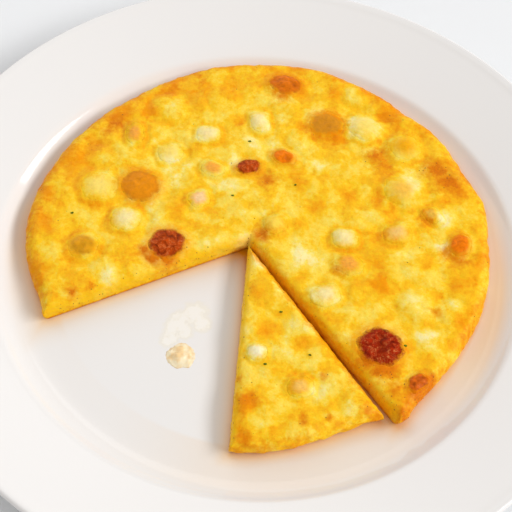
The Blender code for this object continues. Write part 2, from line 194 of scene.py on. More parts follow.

# Toasted spots, orange to brown, some of them painted shade beside lumps and pieces: X, Y, radius
# (mm), strength.
TOASTED_AND_SHADED_SPOTS = (
    (-68.0, 59.0, 4.5, 0.8), (-72.0, 54.0, 3.5, 0.6), (-77.0, 45.0, 4.0, 0.45),
    (-45.0, 81.0, 4.0, 0.55), (-77.0, -33.0, 2.6, 0.8), (-70.0, -30.0, 1.6, 0.7),
    (2.0, 31.0, 4.0, 0.7), (51.0, 48.0, 4.5, 0.75),
    (78.0, 42.0, 6.0, 0.8), (84.0, 35.0, 6.0, 0.9), (87.0, 31.0, 4.0, 0.6),
    (72.0, 14.0, 3.5, 0.55), (1.0, 2.0, 3.5, 0.8), (-2.0, -78.0, 4.0, 0.6),
    (-2.0, -96.0, 3.5, 0.6), (21.0, -86.0, 2.0, 0.7), (31.0, -84.0, 1.8, 0.6),
    (29.0, -66.0, 1.8, 0.6), (58.0, -70.0, 4.5, 0.6), (64.0, -76.0, 4.0, 0.6),
    (75.0, -33.0, 2.4, 0.6), (34.0, -15.0, 3.0, 0.5),
    (56.0, 71.0, 4.0, 0.4), (-5.0, -69.0, 1.6, 0.6), (-32.0, 90.0, 3.0, 0.4),
    (-98.0, 9.0, 4.0, 0.4), (71.0, -66.0, 4.5, 1.0), (67.0, -71.0, 4.5, 1.0),
    (54.0, 43.0, 4.5, 0.6),
    (-45.0, -14.0, 3.5, 1.0), (-39.0, -14.0, 3.5, 1.0), (-49.0, -10.0, 3.0, 0.9),
    (52.0, -61.5, 4.0, 1.0), (47.0, -58.0, 3.5, 0.9), (56.0, -62.0, 4.0, 0.8),
    (86.0, -6.0, 4.0, 0.7), (81.0, -3.0, 3.5, 0.6), (7.0, 81.0, 4.0, 0.7),
    (27.0, 63.0, 8.0, 0.45), (46.0, -79.0, 3.0, 0.5), (61.0, -80.0, 3.0, 0.9),
)

# Pale curds, where the egg set thick over potato: X, Y, radius (mm), strength.
PALE_CURDS = (
    (-39.0, 41.0, 7.0, 1.0), (-47.0, 45.0, 5.0, 0.7), (-40.0, 28.0, 5.0, 0.6),
    (-63.0, 43.0, 6.0, 0.55), (-25.0, 55.0, 5.0, 0.5), (-7.0, 50.0, 5.0, 0.6),
    (-14.0, 41.0, 4.0, 0.5), (-15.0, 27.0, 4.0, 0.5), (-25.0, 20.0, 5.0, 0.6),
    (-1.0, 12.0, 4.5, 0.8), (-7.0, -1.0, 4.0, 0.7), (-21.0, -5.0, 4.0, 0.6),
    (8.0, 67.0, 3.5, 0.6), (5.0, 52.0, 4.0, 0.5), (25.0, 41.0, 5.0, 0.5), (37.0, 34.0, 4.0, 0.5),
    (18.0, -8.0, 6.0, 0.8), (13.0, -3.0, 4.0, 0.6), (22.0, -25.0, 4.0, 0.5),
    (32.0, 14.0, 4.0, 0.45), (66.0, 37.0, 5.0, 0.8), (68.0, 30.0, 4.0, 0.6),
    (80.0, 14.0, 3.5, 0.7), (79.0, 1.0, 3.5, 0.8), (78.0, -7.0, 3.0, 0.6),
    (63.0, -4.0, 4.0, 0.5), (70.0, -32.0, 5.0, 0.5),
    (77.0, -37.0, 4.0, 0.8), (72.0, -45.0, 5.0, 0.7), (83.0, -30.0, 3.0, 0.7),
    (39.0, 60.0, 4.0, 0.5), (59.0, 48.0, 4.0, 0.6), (38.0, 85.0, 4.0, 0.5),
    (13.0, -52.0, 5.0, 0.5), (-3.0, -47.0, 3.0, 0.6), (28.0, -74.0, 5.0, 0.6),
    (38.0, -80.0, 5.0, 0.85), (6.0, -89.0, 3.0, 0.6),
    (13.0, -93.0, 4.0, 0.7), (-64.0, -25.0, 4.0, 0.7), (-83.0, -39.0, 4.0, 0.6),
    (-91.0, -13.0, 4.0, 0.5), (1.0, -13.0, 3.0, 0.6), (-32.0, 38.0, 4.0, 0.8),
    (42.0, 40.0, 4.0, 0.6), (33.0, 36.0, 4.0, 0.5), (-72.0, 37.0, 4.0, 0.5),
    (-62.0, 15.0, 4.0, 0.6), (-62.0, -10.0, 4.0, 0.4), (-12.0, 92.0, 6.0, 0.5),
    (-2.0, -55.0, 4.0, 0.7), (3.0, -40.0, 4.0, 0.5), (26.0, -84.0, 3.5, 0.6),
    (68.0, -19.0, 4.0, 0.6), (-18.0, 62.0, 4.0, 0.5), (-4.0, 23.0, 4.0, 0.5),
    (8.0, -68.0, 4.0, 0.5), (-84.0, -2.0, 3.5, 0.6), (30.0, -89.0, 3.0, 0.6),
    (-47.0, 12.0, 4.0, 0.5), (-51.0, 3.0, 3.5, 0.5), (12.0, 59.0, 4.0, 0.5),
    (0.0, -9.0, 3.5, 0.5), (-99.0, 2.0, 3.5, 0.5),
)

# Tones of the diced pieces, as sRGB.
TONES = {
    "snow": "FFF4C8",
    "cream": "FFE8A0",
    "buttery": "FFDE6C",
    "lemon": "FFD850",
    "golden": "F2AC0C",
    "tan": "FDC448",
    "rosy": "FDCC70",
    "pink": "FFD498",
    "apricot": "FFC860",
    "peach": "FDB040",
    "orange": "EA9010",
    "flame": "F47E02",
    "amber": "E4760C",
    "ember": "DA640A",
    "rust": "B64204",
    "deep_red": "A02400",
    "browned": "DC901C",
    "olive": "DE9C14",
}
# Tones of the pieces of potato that show through as a pale halo in the egg round them.
PALE_TONES = ("snow", "cream", "buttery")
# Tone of each diced piece, how far a film of egg covers it, from 0 to 1, and how many mm it
# stands above the common mound.
PIECE_LOOKS = {
    "potato_1": ("buttery", 0.35, 0.2),
    "potato_2": ("cream", 0.3, 0.3),
    "potato_3": ("cream", 0.25, 0.2),
    "potato_4": ("cream", 0.35, 0.4),
    "potato_5": ("cream", 0.25, 0.2),
    "potato_6": ("cream", 0.3, 0.4),
    "potato_7": ("lemon", 0.4, 0.5),
    "potato_8": ("buttery", 0.5, 0.9),
    "potato_9": ("golden", 0.3, 0.8),
    "potato_10": ("tan", 0.45, 1.1),
    "potato_11": ("rosy", 0.45, 0.5),
    "potato_12": ("buttery", 0.5, 0.4),
    "potato_13": ("snow", 0.2, 0.1),
    "chorizo_1": ("orange", 0.0, 0.2),
    "chorizo_2": ("rust", 0.0, 0.0),
    "chorizo_3": ("deep_red", 0.0, 0.4),
    "chorizo_4": ("amber", 0.1, 0.2),
    "chorizo_5": ("rust", 0.05, 0.3),
    "chorizo_6": ("flame", 0.25, 0.2),
    "chorizo_7": ("browned", 0.4, 0.2),
    "chorizo_8": ("flame", 0.3, 0.4),
    "chorizo_9": ("ember", 0.1, 0.1),
    "ham_1": ("peach", 0.4, 0.0),
    "ham_2": ("peach", 0.35, 0.0),
    "ham_3": ("pink", 0.2, 0.0),
    "ham_4": ("peach", 0.3, 0.1),
    "ham_5": ("tan", 0.6, 0.1),
    "ham_6": ("apricot", 0.5, 0.1),
    "onion_1": ("olive", 0.15, 0.0),
}
# Shape of each kind of piece: height of its crown, and height and pitch of its lumps.
KIND_SHAPES = {
    "potato": (0.62 * MM, 0.14 * MM, 3.0 * MM),
    "chorizo": (0.65 * MM, 0.28 * MM, 2.6 * MM),
    "ham": (0.50 * MM, 0.24 * MM, 2.2 * MM),
    "onion": (0.35 * MM, 0.14 * MM, 3.4 * MM),
}
# How ragged the outline of each kind of piece is, or of one frayed piece, as a share of its radius.
RAGGEDNESS = {"potato": 0.10, "chorizo": 0.12, "ham": 0.22, "onion": 0.10, "chorizo_9": 0.42}

# How far the top of a piece reaches, under the egg, as a share of its radius.
PIECE_OVERLAP = 1.08
# Looks of the egg round a piece: the distance at which each starts to fade, or is strongest, and
# the width over which it fades, both as shares of the piece's radius, and its strength.
OILY_HALO = (1.0, 0.28, 0.85)
PALE_HALO = (0.88, 0.22, 0.50)
# The golden ring is painted shade in the moat round a piece.
GOLDEN_MOAT_SHADE = (1.32, 0.24, 0.40)
# Where the film of egg starts to lap over each kind of piece, and over what width it closes, on
# the scale of a piece's edge field with the noises added.
EGG_LAPS = {
    "potato": (0.67, 0.80),
    "chorizo": (1.12, 0.30),
    "ham": (0.84, 0.56),
    "onion": (1.00, 0.42),
}

# Dents in single pieces, which the chorizo material also darkens with painted shade: offset along X
# and Y, radius and depth, all in mm.
PIECE_DENTS = {
    "chorizo_3": ((0.6, 3.5, 2.2, 0.9), (1.0, -1.0, 2.0, 0.9), (0.0, -5.5, 2.2, 0.7)),
    "chorizo_4": ((-4.6, 1.5, 1.6, 0.7), (4.4, -1.0, 1.5, 0.7)),
    "chorizo_6": ((1.8, -1.2, 1.5, 0.8),),
    "chorizo_7": ((0.5, -1.0, 3.5, 0.35),),
    "chorizo_9": ((0.5, 0.6, 1.2, 0.6), (-1.9, -1.4, 1.1, 0.6), (2.2, 2.0, 1.0, 0.5)),
}

# Places of the herb flecks that catch the eye: X and Y from the food's middle, in mm.
SEEN_FLECKS = (
    (-82.0, 7.0), (-7.0, 52.0), (23.0, -57.0), (-13.0, 21.0), (14.5, 29.0), (62.0, -50.0),
    (10.5, -37.0), (5.0, -62.0),
)

# Where the oil on the wall of the plate, with the painted shadow and painted warm bounce light that
# it carries, reaches farther or less far: angle in degrees, gain, half width in degrees. The one at
# the left paints the food's shadow farther up the wall; the one at the back left keeps the tint off
# the glaze's highlight.
OIL_AND_SHADE_REACHES = ((180.0, 1.6, 23.0), (-70.0, 1.0, 40.0), (128.0, -0.75, 36.0))
# Films of oil which carry painted warm bounce light from the egg and run on towards the rim: angle,
# strength and half width in degrees.
OIL_AND_BOUNCE_FILMS = ((-8.0, 0.85, 36.0), (-75.0, 0.34, 50.0))
# Length over which a film thins out, its thinner start beside the food, and the radius at which
# all oil and its painted tint have ended with the length over which it does.
FILM_FADE = 40.0 * MM
FILM_START = 3.0 * MM
OIL_LIMIT = 111.0 * MM
OIL_LIMIT_FADE = 5.0 * MM
# Strength of the juice, which also paints the shade in the gap between the cuts and warm bounce
# light in their corner.
JUICE_SHADE_STRENGTH = 1.8

# Dried smears of egg on the plate: X and Y from its middle and radius, in mm.
SMEARS = (
    (-31.0, -32.0, 5.0), (-25.0, -28.0, 5.5), (-29.0, -37.0, 4.0), (-35.0, -41.0, 4.0),
    (-34.0, -35.0, 4.0), (-22.0, -33.0, 4.0),
)

# Camera of the photograph: height above the table's plane and roll in degrees, distance to the
# point it looks at, and focal length for a 36 mm sensor.
CAMERA_ELEVATION = 56.563
CAMERA_ROLL = 3.2676
CAMERA_DISTANCE = 0.5516
CAMERA_TARGET = Vector((-0.9, 2.8, 6.0)) * MM
CAMERA_LENS = 88.952

# Sockets of a Mix node for colours: the share, the two colours and the mixed colour.
SHARE, FIRST, SECOND, MIXED = 0, 6, 7, 2


def linear_rgb(colour_hex):
    """Turn an sRGB hex colour to linear light."""
    channels = [int(colour_hex[i:i + 2], 16) / 255.0 for i in (0, 2, 4)]
    return tuple(c / 12.92 if c <= 0.04045 else ((c + 0.055) / 1.055) ** 2.4 for c in channels)


def colour_setting(name, description, colour_hex):
    """Return a colour property whose default is an sRGB hex colour."""
    return FloatVectorProperty(
        name=name, description=description, default=linear_rgb(colour_hex),
        subtype="COLOR", size=3, min=0.0, max=1.0)


def length_setting(name, description, default):
    """Return a length property in metres."""
    return FloatProperty(
        name=name, description=description, default=default, unit="LENGTH", precision=5)


class PlateSettings(bpy.types.PropertyGroup):
    """Sizes and colour of the plate."""

    turns: IntProperty(name="Turns", description="Faces round the plate", default=320, min=24)
    verge_round: length_setting(
        "Verge round", "Length over which the wall bends into the rim", 2.4 * MM)
    glaze: colour_setting("Glaze", "Colour of the glazed porcelain", "F1EFED")
    # The oil colour also paints the food's shadow beside it and the warm light that the egg throws
    # on the plate.
    oil: colour_setting("Oil", "Oil that has run out on the plate", "EEC280")
    oil_and_shade_width: length_setting("Oil width", "Reach of the oil from the food", 3.0 * MM)
    # The juice colour also paints the shade in the gap between the cuts and warm bounce light in
    # their corner.
    juice_shade_and_bounce: colour_setting("Juice", "Brown juice caught between the cuts", "D88C10")
    juice_shade_width: length_setting("Juice width", "Width of the juice between the cuts", 7.0 * MM)
    juice_shade_reach: length_setting("Juice reach", "Reach of the juice from the corner", 106.0 * MM)
    smear: colour_setting("Smear", "Smear of pale egg on the plate", "FBF7EC")
    smear_edge: colour_setting("Smear edge", "Yellower edge of the smear", "F0E6C8")


class EggSettings(bpy.types.PropertyGroup):
    """Mesh size, relief and colours of the egg."""

    step: length_setting("Step", "Distance between points of the upper face", 0.66 * MM)
    cell_height: length_setting("Curd height", "Height of the rounded curds", 0.37 * MM)
    cell_pitch: length_setting("Curd pitch", "Width of the rounded curds", 5.2 * MM)
    grain_height: length_setting("Grain", "Height of the small curds", 0.17 * MM)
    grain_pitch: length_setting("Grain pitch", "Width of the small curds", 2.2 * MM)
    pale: colour_setting("Pale", "Raised, thinly set egg", "FFDE58")
    yellow: colour_setting("Yellow", "Most of the egg", "FFCA20")
    # The golden and toasted colours also paint shade in the hollows, round the pieces and along the
    # gap between the cuts.
    golden: colour_setting("Golden", "Egg in the hollows", "F49C00")
    toasted: colour_setting("Toasted", "Egg that caught the heat", "E07C00")
    burnt: colour_setting("Burnt", "Darkest flecks of the toasted egg", "9E5008")
    curd: colour_setting("Curd", "Pale curds over potato", "FFEEA4")
    inside: colour_setting("Inside", "Egg at a knife cut", "FFC818")
    oiled: colour_setting("Oiled", "Egg stained by the oil of the chorizo", "EE8400")


class PieceSettings(bpy.types.PropertyGroup):
    """Mesh size and shared colours of the diced pieces."""

    rings: IntProperty(name="Rings", description="Rings of faces on top of a piece", default=16)
    sides: IntProperty(name="Sides", description="Faces round a piece", default=84)
    fried_ham: colour_setting("Fried ham", "Edge of the fried ham", "F29A14")
    fat: colour_setting("Fat", "Flecks of fat in the chorizo", "D8864A")
    # The char colour also paints the shade in the chorizo's dents.
    char: colour_setting("Char", "Dark fried edge of a piece", "6E2400")


class BitsSettings(bpy.types.PropertyGroup):
    """Herb flecks, toasted specks and what lies on the bare plate."""

    fleck_size: length_setting("Fleck size", "Length of a herb fleck", 1.6 * MM)
    speck_size: length_setting("Speck size", "Width of a toasted speck", 0.62 * MM)
    speck_density: FloatProperty(
        name="Speck density", description="Toasted specks on a square metre", default=150000.0)
    seed: IntProperty(name="Seed", description="Seed of the random draws", default=7)
    herb: colour_setting("Herb", "Chopped dried herb", "74801A")
    herb_dark: colour_setting("Dark herb", "Darker parts of the herb", "4E5C08")
    speck: colour_setting("Speck", "Toasted speck", "743A04")
    speck_light: colour_setting("Light speck", "Less toasted parts of a speck", "A4580A")
    flake: colour_setting("Flake", "Potato flake on the plate", "FFEEC8")
    flake_edge: colour_setting("Flake edge", "Browner parts of the flake", "F8D49C")


class StageSettings(bpy.types.PropertyGroup):
    """Floor, lights and surroundings."""

    key_power: FloatProperty(
        name="Key light", description="Power of the soft light on the right", default=113.0)
    key_elevation: FloatProperty(
        name="Key elevation", description="Height of the light in degrees", default=35.5)
    key_azimuth: FloatProperty(
        name="Key azimuth", description="Turn of the light from +X in degrees", default=-9.0)
    key_distance: length_setting("Key distance", "Distance of the light", 4.0)
    fill_power: FloatProperty(
        name="Fill light", description="Power of the reflector behind the plate", default=18.0)
    sky: FloatProperty(name="Sky", description="Strength of the even surroundings", default=0.51)
    floor: colour_setting("Floor", "Plain pale floor", "EFF1F3")


def set_inputs(tree, node, inputs):
    """Give inputs of a node their values or links, by name or number."""
    for name, value in inputs.items():
        if isinstance(value, bpy.types.NodeSocket):
            tree.links.new(value, node.inputs[name])
        else:
            node.inputs[name].default_value = value


def add_node(tree, kind, inputs=None, stops=None, **settings):
    """Add one node with its settings, its inputs as values or links, and a ramp's stops."""
    node = tree.nodes.new(kind)
    for name, value in settings.items():
        setattr(node, name, value)
    set_inputs(tree, node, inputs or {})
    if stops is not None:
        elements = node.color_ramp.elements
        elements.remove(elements[1])
        (elements[0].position, first), *others = stops
        elements[0].color = (*first, 1.0)
        for place, colour in others:
            elements.new(place).color = (*colour, 1.0)
    return node


def new_material(name, roughness, ior=1.45):
    """Return a new material, its node tree and its Principled shader."""
    material = bpy.data.materials.new(name)
    material.use_nodes = True
    tree = material.node_tree
    shader = tree.nodes["Principled BSDF"]
    set_inputs(tree, shader, {"Roughness": roughness, "IOR": ior})
    return material, tree, shader


def per_size(size):
    """Scale of a pattern in Object coordinates whose features have this size."""
    return 1.0 / size


def add_piece_object(name, mesh, material, body="root", nodes=(), slot=None):
    """Put a finished mesh in the scene as a piece that rides on a body."""
    item = bpy.data.objects.new(name, mesh)
    bpy.context.scene.collection.objects.link(item)
    mesh.materials.clear()
    mesh.materials.append(material)
    mesh.shade_smooth()
    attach(item, body)
    if nodes:
        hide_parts(*nodes)


def turn_outwards(mesh):
    """Turn the faces of a closed mesh outwards."""
    bm = bmesh.new()
    bm.from_mesh(mesh)
    bmesh.ops.recalc_face_normals(bm, faces=bm.faces)
    bm.to_mesh(mesh)
    bm.free()


def plain_mesh(name, points, faces):
    """Return a mesh of points and faces, with its faces outwards."""
    mesh = bpy.data.meshes.new(name)
    mesh.from_pydata(np.asarray(points).tolist(), [], faces)
    turn_outwards(mesh)
    return mesh


def band_faces(base, count):
    """Faces between two closed rings of points, the second straight after the first."""
    steps = [(i, (i + 1) % count) for i in range(count)]
    return [(base + i, base + j, base + count + j, base + count + i) for i, j in steps]


def mesh_points(mesh):
    """Return the points of a mesh as rows."""
    points = np.zeros(3 * len(mesh.vertices))
    mesh.vertices.foreach_get("co", points)
    return points.reshape(-1, 3)


def mesh_edges(mesh):
    """Return the two points of each edge of a mesh as rows."""
    edges = np.zeros(2 * len(mesh.edges), dtype=np.int64)
    mesh.edges.foreach_get("vertices", edges)
    return edges.reshape(-1, 2)


def set_attribute(mesh, name, values):
    """Store one number for each point of a mesh."""
    layer = mesh.attributes.new(name, "FLOAT", "POINT")
    layer.data.foreach_set("value", np.ascontiguousarray(values, dtype=np.float32))


def get_attribute(mesh, name):
    """Return the number stored for each point of a mesh."""
    values = np.zeros(len(mesh.vertices), dtype=np.float32)
    mesh.attributes[name].data.foreach_get("value", values)
    return values


def set_colour(mesh, name, colour):
    """Store one linear colour on every point of a mesh."""
    layer = mesh.attributes.new(name, "FLOAT_COLOR", "POINT")
    values = np.tile(np.array([*colour, 1.0], dtype=np.float32), len(mesh.vertices))
    layer.data.foreach_set("color", values)


def unit(angle_degrees):
    """Return the flat unit vector at an angle from +X."""
    angle = math.radians(angle_degrees)
    return np.array([math.cos(angle), math.sin(angle)])


def polar(offsets):
    """Return the angles in radians and the lengths of rows of X and Y."""
    return np.arctan2(offsets[:, 1], offsets[:, 0]), np.hypot(*offsets.T)


def on_circle(angles):
    """Return rows of X and Y on the unit circle at angles in radians."""
    return np.column_stack([np.cos(angles), np.sin(angles)])


def turn_from(angles, middle):
    """Return the turn from a middle to angles in degrees, between -180 and 180."""
    return (angles - middle + 180.0) % 360.0 - 180.0


def bell(distance):
    """Return 1 at distance 0, falling off softly on both sides."""
    return np.exp(-distance ** 2)


def from_spot(offsets, x, y, radius):
    """Return the distance of rows of X and Y from a spot given in mm, 1 at its radius."""
    return np.hypot(*(offsets - np.array([x, y]) * MM).T) / (radius * MM)


def ramp(values, start, length):
    """Return a share that climbs from 0 to 1 over a length from a start."""
    return np.clip((values - start) / length, 0.0, 1.0)


def eased(share):
    """Return a share from 0 to 1 with a soft start and end."""
    return share * share * (3.0 - 2.0 * share)


def pattern_places(points, pitch, seed):
    """Return points in units of a pattern's pitch, at a height of their own for each seed."""
    scaled = np.column_stack([points, np.zeros(len(points))])[:, :3] / pitch
    scaled[:, 2] += seed
    return scaled.tolist()


def noise_at(points, pitch, seed=0.0):
    """Return smooth noise, about -1 to 1, with features of one pitch, at rows of points."""
    return np.array([noise.noise(place) for place in pattern_places(points, pitch, seed)])


def domes_at(points, pitch, seed=0.0):
    """Return rounded cells of about one pitch, 1 in their middles and near 0 in their seams."""
    places = pattern_places(points, pitch, seed)
    nearest = np.array([noise.voronoi(place)[0][0] for place in places])
    return 1.0 - 1.3 * nearest ** 2


def warp(places, reach, pitch, seeds):
    """Return rows of X and Y pushed about by a reach, so that patterns on them get ragged."""
    return places + reach * np.column_stack([noise_at(places, pitch, seed) for seed in seeds])


def wall_height(radius):
    """Height of the plate's upper face at distances from its middle."""
    climb = ramp(radius, WELL_FLAT_RADIUS, VERGE_RADIUS - WELL_FLAT_RADIUS) ** WALL_STEEPENING
    wall = WELL_FLOOR + (VERGE_HEIGHT - WELL_FLOOR) * climb
    past = np.maximum(radius - VERGE_RADIUS, 0.0) / (PLATE_RADIUS - VERGE_RADIUS)
    return wall + (LIP_HEIGHT - VERGE_HEIGHT) * past


def bed_height(places):
    """Height of the frittata's underside, which follows the plate, at rows of X and Y."""
    return wall_height(np.hypot(*places.T)) + BED_GAP


def rim_radius(angles):
    """Radius of the frittata's uneven outline at angles in degrees about its middle."""
    radius = np.full(np.shape(angles), FOOD_RADIUS)
    for middle, size, half_width in RIM_BULGES:
        radius = radius + size * bell(turn_from(angles, middle) / half_width)
    return radius


class DicedPiece:
    """Where a diced piece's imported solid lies, read from the frame."""

    def __init__(self, node):
        self.node = node
        self.kind = node.split("_")[0]
        self.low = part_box(node)[0].z
        # The outline is that of the solid's flat foot. Points in the midst of it are left out.
        points = mesh_points(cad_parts[node].data)
        foot = points[points[:, 2] < self.low + 0.05 * MM][:, :2]
        self.middle = 0.5 * (foot.min(axis=0) + foot.max(axis=0))
        angles, reaches = polar(foot - self.middle)
        outer = reaches > 0.4 * reaches.max()
        order = np.argsort(angles[outer])
        self.angles = angles[outer][order]
        self.reaches = reaches[outer][order]

    def radius(self, angles):
        """Radius of the softened, ragged outline at angles in radians."""
        softening = np.radians([-14.0, -7.0, 0.0, 7.0, 14.0])
        beside = [np.interp(angles + turn, self.angles, self.reaches, period=2.0 * math.pi)
                  for turn in softening]
        radius = np.mean(beside, axis=0)
        outline = on_circle(angles) * radius[:, None]
        share = RAGGEDNESS.get(self.node, RAGGEDNESS[self.kind])
        ragged = share * noise_at(outline, pitch=3.2 * MM, seed=self.middle[0] / MM)
        return radius * (1.0 + ragged)

    def distance(self, places):
        """Distance from the middle, 1 on the outline, at rows of X and Y."""
        angles, reaches = polar(places - self.middle)
        return reaches / self.radius(angles)


PIECES = [DicedPiece(name) for name in sorted(PIECE_LOOKS)]


def halo(distance, start, width, strength):
    """Strength of a look that fades outwards round a piece."""
    return strength * bell(np.maximum(distance - start, 0.0) / width)


def pieces_near(places):
    """Yield each diced piece, the rows of X and Y near it and their distance from it."""
    for piece in PIECES:
        rows = np.all(np.abs(places - piece.middle) < PIECE_REACH, axis=1)
        yield piece, rows, piece.distance(places[rows])


def moat(distance):
    """Depth from 0 to 1 of the moat round a piece or lump, whose outline is at distance 1."""
    return bell((distance - MOAT_REACH) / MOAT_WIDTH)


def egg_relief(places):
    """Unevenness of the egg's upper face, before it sinks under the pieces."""
    height = SWELL_HEIGHT * noise_at(places, SWELL_PITCH) + curd_relief(places)
    for piece, rows, distance in pieces_near(places):
        rise = MOUND_HEIGHT + PIECE_LOOKS[piece.node][2] * MM
        height[rows] += rise * np.exp(-distance ** 3)
        height[rows] -= MOAT_DEPTH * moat(distance)
    return height


def curd_relief(places):
    """Curds of the egg's upper face and lumps that push it up from below."""
    height = CURD_HEIGHT * noise_at(places, CURD_PITCH, CURD_SHIFT / CURD_PITCH)
    for x, y, radius, rise in HIDDEN_LUMPS:
        distance = from_spot(places - FOOD_MIDDLE, x, y, radius)
        height += rise * MM * np.exp(-distance ** 4)
        height -= LUMP_MOAT * rise * MM * moat(distance)
    return height


def egg_grain(places, settings):
    """Small curds of the egg's upper face, which leave its mean height as it is."""
    mean_dome = 0.6
    warped = warp(places, reach=1.2 * MM, pitch=3.0 * MM, seeds=(11.0, 15.0))
    cells = domes_at(warped, settings.cell_pitch, seed=2.0) - mean_dome
    grains = domes_at(warped, settings.grain_pitch, seed=6.0) - mean_dome
    finest = 0.6 * noise_at(places, 0.55 * settings.grain_pitch, seed=9.0)
    return settings.cell_height * cells + settings.grain_height * (grains + finest)


def top_of_egg(places):
    """Height of the egg's upper face inside its rim, at rows of X and Y."""
    return bed_height(places) + FOOD_THICKNESS + egg_relief(places)


def sinking(places):
    """Depth that the egg's upper face sinks under the diced pieces."""
    depth = np.zeros(len(places))
    for _, rows, distance in pieces_near(places):
        under = eased(1.0 - ramp(distance, SUNK_UP_TO, SUNK_FADE))
        depth[rows] = np.maximum(depth[rows], under)
    return depth * SUNK_UNDER_PIECE


def spot_field(places, spots, raggedness):
    """Strength from 0 to 1 of a set of soft, ragged spots at rows of X and Y."""
    strength = np.zeros(len(places))
    ragged = warp(places, raggedness, pitch=4.0 * MM, seeds=(21.0, 27.0)) - FOOD_MIDDLE
    for x, y, radius, power in spots:
        distance = from_spot(ragged, x, y, SPOT_SPREAD * radius)
        strength = np.maximum(strength, power * bell(distance))
    return strength


def smooth_section(corners, count):
    """Round off an outline of (inset, height) corners and return evenly spaced points on it."""
    line = np.array(corners)
    for _ in range(4):  # each round cuts every corner off at a quarter of its sides
        quarter = 0.75 * line[:-1] + 0.25 * line[1:]
        three_quarters = 0.25 * line[:-1] + 0.75 * line[1:]
        middle = np.column_stack([quarter, three_quarters]).reshape(-1, 2)
        line = np.vstack([line[:1], middle, line[-1:]])
    steps = np.hypot(*np.diff(line, axis=0).T)
    reach = np.concatenate([[0.0], np.cumsum(steps)])
    evenly = np.linspace(0.0, reach[-1], count)
    return np.column_stack([np.interp(evenly, reach, line[:, i]) for i in (0, 1)])


def rim_section(count):
    """Section of the pancake's rim: inset from the outline and height above the bed."""
    corners = [(1.0, 1.0)]
    for angle in np.radians(np.linspace(80.0, 0.0, 7)):
        height = RIM_WAIST + (1.0 - RIM_WAIST) * math.sin(angle)
        corners.append((1.0 - math.cos(angle), height))
    corners += [(0.10, 0.12), (0.35, 0.0)]
    return smooth_section(np.array(corners) * (RIM_ROUND, FOOD_THICKNESS), count)


def cut_section(lean, drop, count):
    """Section of a knife cut that leans back and rounds over at its top."""
    corners = [
        (0.9 * lean + 3.5 * MM, FOOD_THICKNESS),
        (0.9 * lean + 1.2 * MM, FOOD_THICKNESS - 0.25 * drop),
        (0.50 * lean, FOOD_THICKNESS - drop),
        (0.18 * lean, 0.60 * FOOD_THICKNESS),
        (0.0, 0.15 * FOOD_THICKNESS),
        (0.0, 0.0),
    ]
    return smooth_section(corners, count)


class EggBody:
    """Outlines of one body of egg at each level of its sides."""

    def __init__(self, node, step):
        shape = BODIES[node]
        self.step = step
        self.wide = shape["sweep"] > 180.0
        self.middle = FOOD_MIDDLE + shape["slide"]
        self.corner = FOOD_MIDDLE + shape["corner"]
        self.along_cut = round(CUT_LENGTH / step)
        self.along_rim = round(math.radians(shape["sweep"]) * FOOD_RADIUS / step)
        self.rim = rim_section(SIDE_LEVELS)
        self.cuts = []
        for (angle, lean, drop), inward in zip(shape["cuts"], (90.0, -90.0)):
            section = cut_section(lean, drop, SIDE_LEVELS)
            self.cuts.append((unit(angle), unit(angle + inward), section))

    def cut_corner(self, level):
        """Where the two cuts meet at a level."""
        (_, first, first_section), (_, second, second_section) = self.cuts
        normals = np.array([first, second])
        insets = np.array([first_section[level, 0], second_section[level, 0]])
        return self.corner + np.linalg.solve(normals, insets)

    def rim_angle(self, level, cut):
        """Angle in degrees about the middle at which a cut meets the rim at a level."""
        direction, normal, section = self.cuts[cut]
        start = self.corner + normal * section[level, 0]
        reach = FOOD_RADIUS
        for _ in range(8):
            place = start + direction * reach - self.middle
            angle = math.degrees(math.atan2(place[1], place[0]))
            wanted = self.contour_radius(angle, level)
            reach += wanted - math.hypot(*place)
        return angle

    def contour_radius(self, angle, level):
        """Radius of the rim's contour at a level."""
        return (FOOD_RADIUS - self.rim[level, 0]) * rim_radius(angle) / FOOD_RADIUS

    def outline(self, level):
        """Points of the outline at a level, running anticlockwise from the corner."""
        start, end = self.rim_angle(level, 0), self.rim_angle(level, 1)
        sweep = (end - start) % 360.0
        angles = start + sweep * np.arange(self.along_rim + 1) / self.along_rim
        radius = self.contour_radius(angles, level)
        arc = self.middle + radius[:, None] * on_circle(np.radians(angles))
        corner = self.cut_corner(level)
        share = (np.arange(self.along_cut) / self.along_cut)[:, None]
        out = corner + share * (arc[0] - corner)
        back = arc[-1] + share[1:] * (corner - arc[-1])
        return np.vstack([out, arc, back])

    def rim_weight(self):
        """How much each point of an outline belongs to the rim, from 0 to 1."""
        along = np.arange(2 * self.along_cut + self.along_rim) * self.step
        start = self.along_cut * self.step
        end = (self.along_cut + self.along_rim) * self.step
        inward = np.minimum(along - start, end - along)
        return eased(ramp(inward, -0.5 * CORNER_BLEND, CORNER_BLEND))

    def heights(self, level):
        """Height above the bed of each point of the outline at a level."""
        weight = self.rim_weight()
        halfway = self.along_cut + self.along_rim // 2
        first, second = (section[level, 1] for _, _, section in self.cuts)
        cut = np.where(np.arange(len(weight)) < halfway, first, second)
        return weight * self.rim[level, 1] + (1.0 - weight) * cut

    def inside(self, places, level, margin):
        """Whether places lie inside the outline at a level by a margin."""
        sides = []
        for _, normal, section in self.cuts:
            sides.append((places - self.corner) @ normal > section[level, 0] + margin)
        between = sides[0] | sides[1] if self.wide else sides[0] & sides[1]
        angles, reaches = polar(places - self.middle)
        return between & (reaches < self.contour_radius(np.degrees(angles), level) - margin)

    def edge_distance(self, places):
        """Distance of places from the nearest of the three upright edges."""
        outline = self.outline(0)
        edges = [self.cut_corner(0), outline[self.along_cut],
                 outline[self.along_cut + self.along_rim]]
        return np.min([np.hypot(*(places - edge).T) for edge in edges], axis=0)


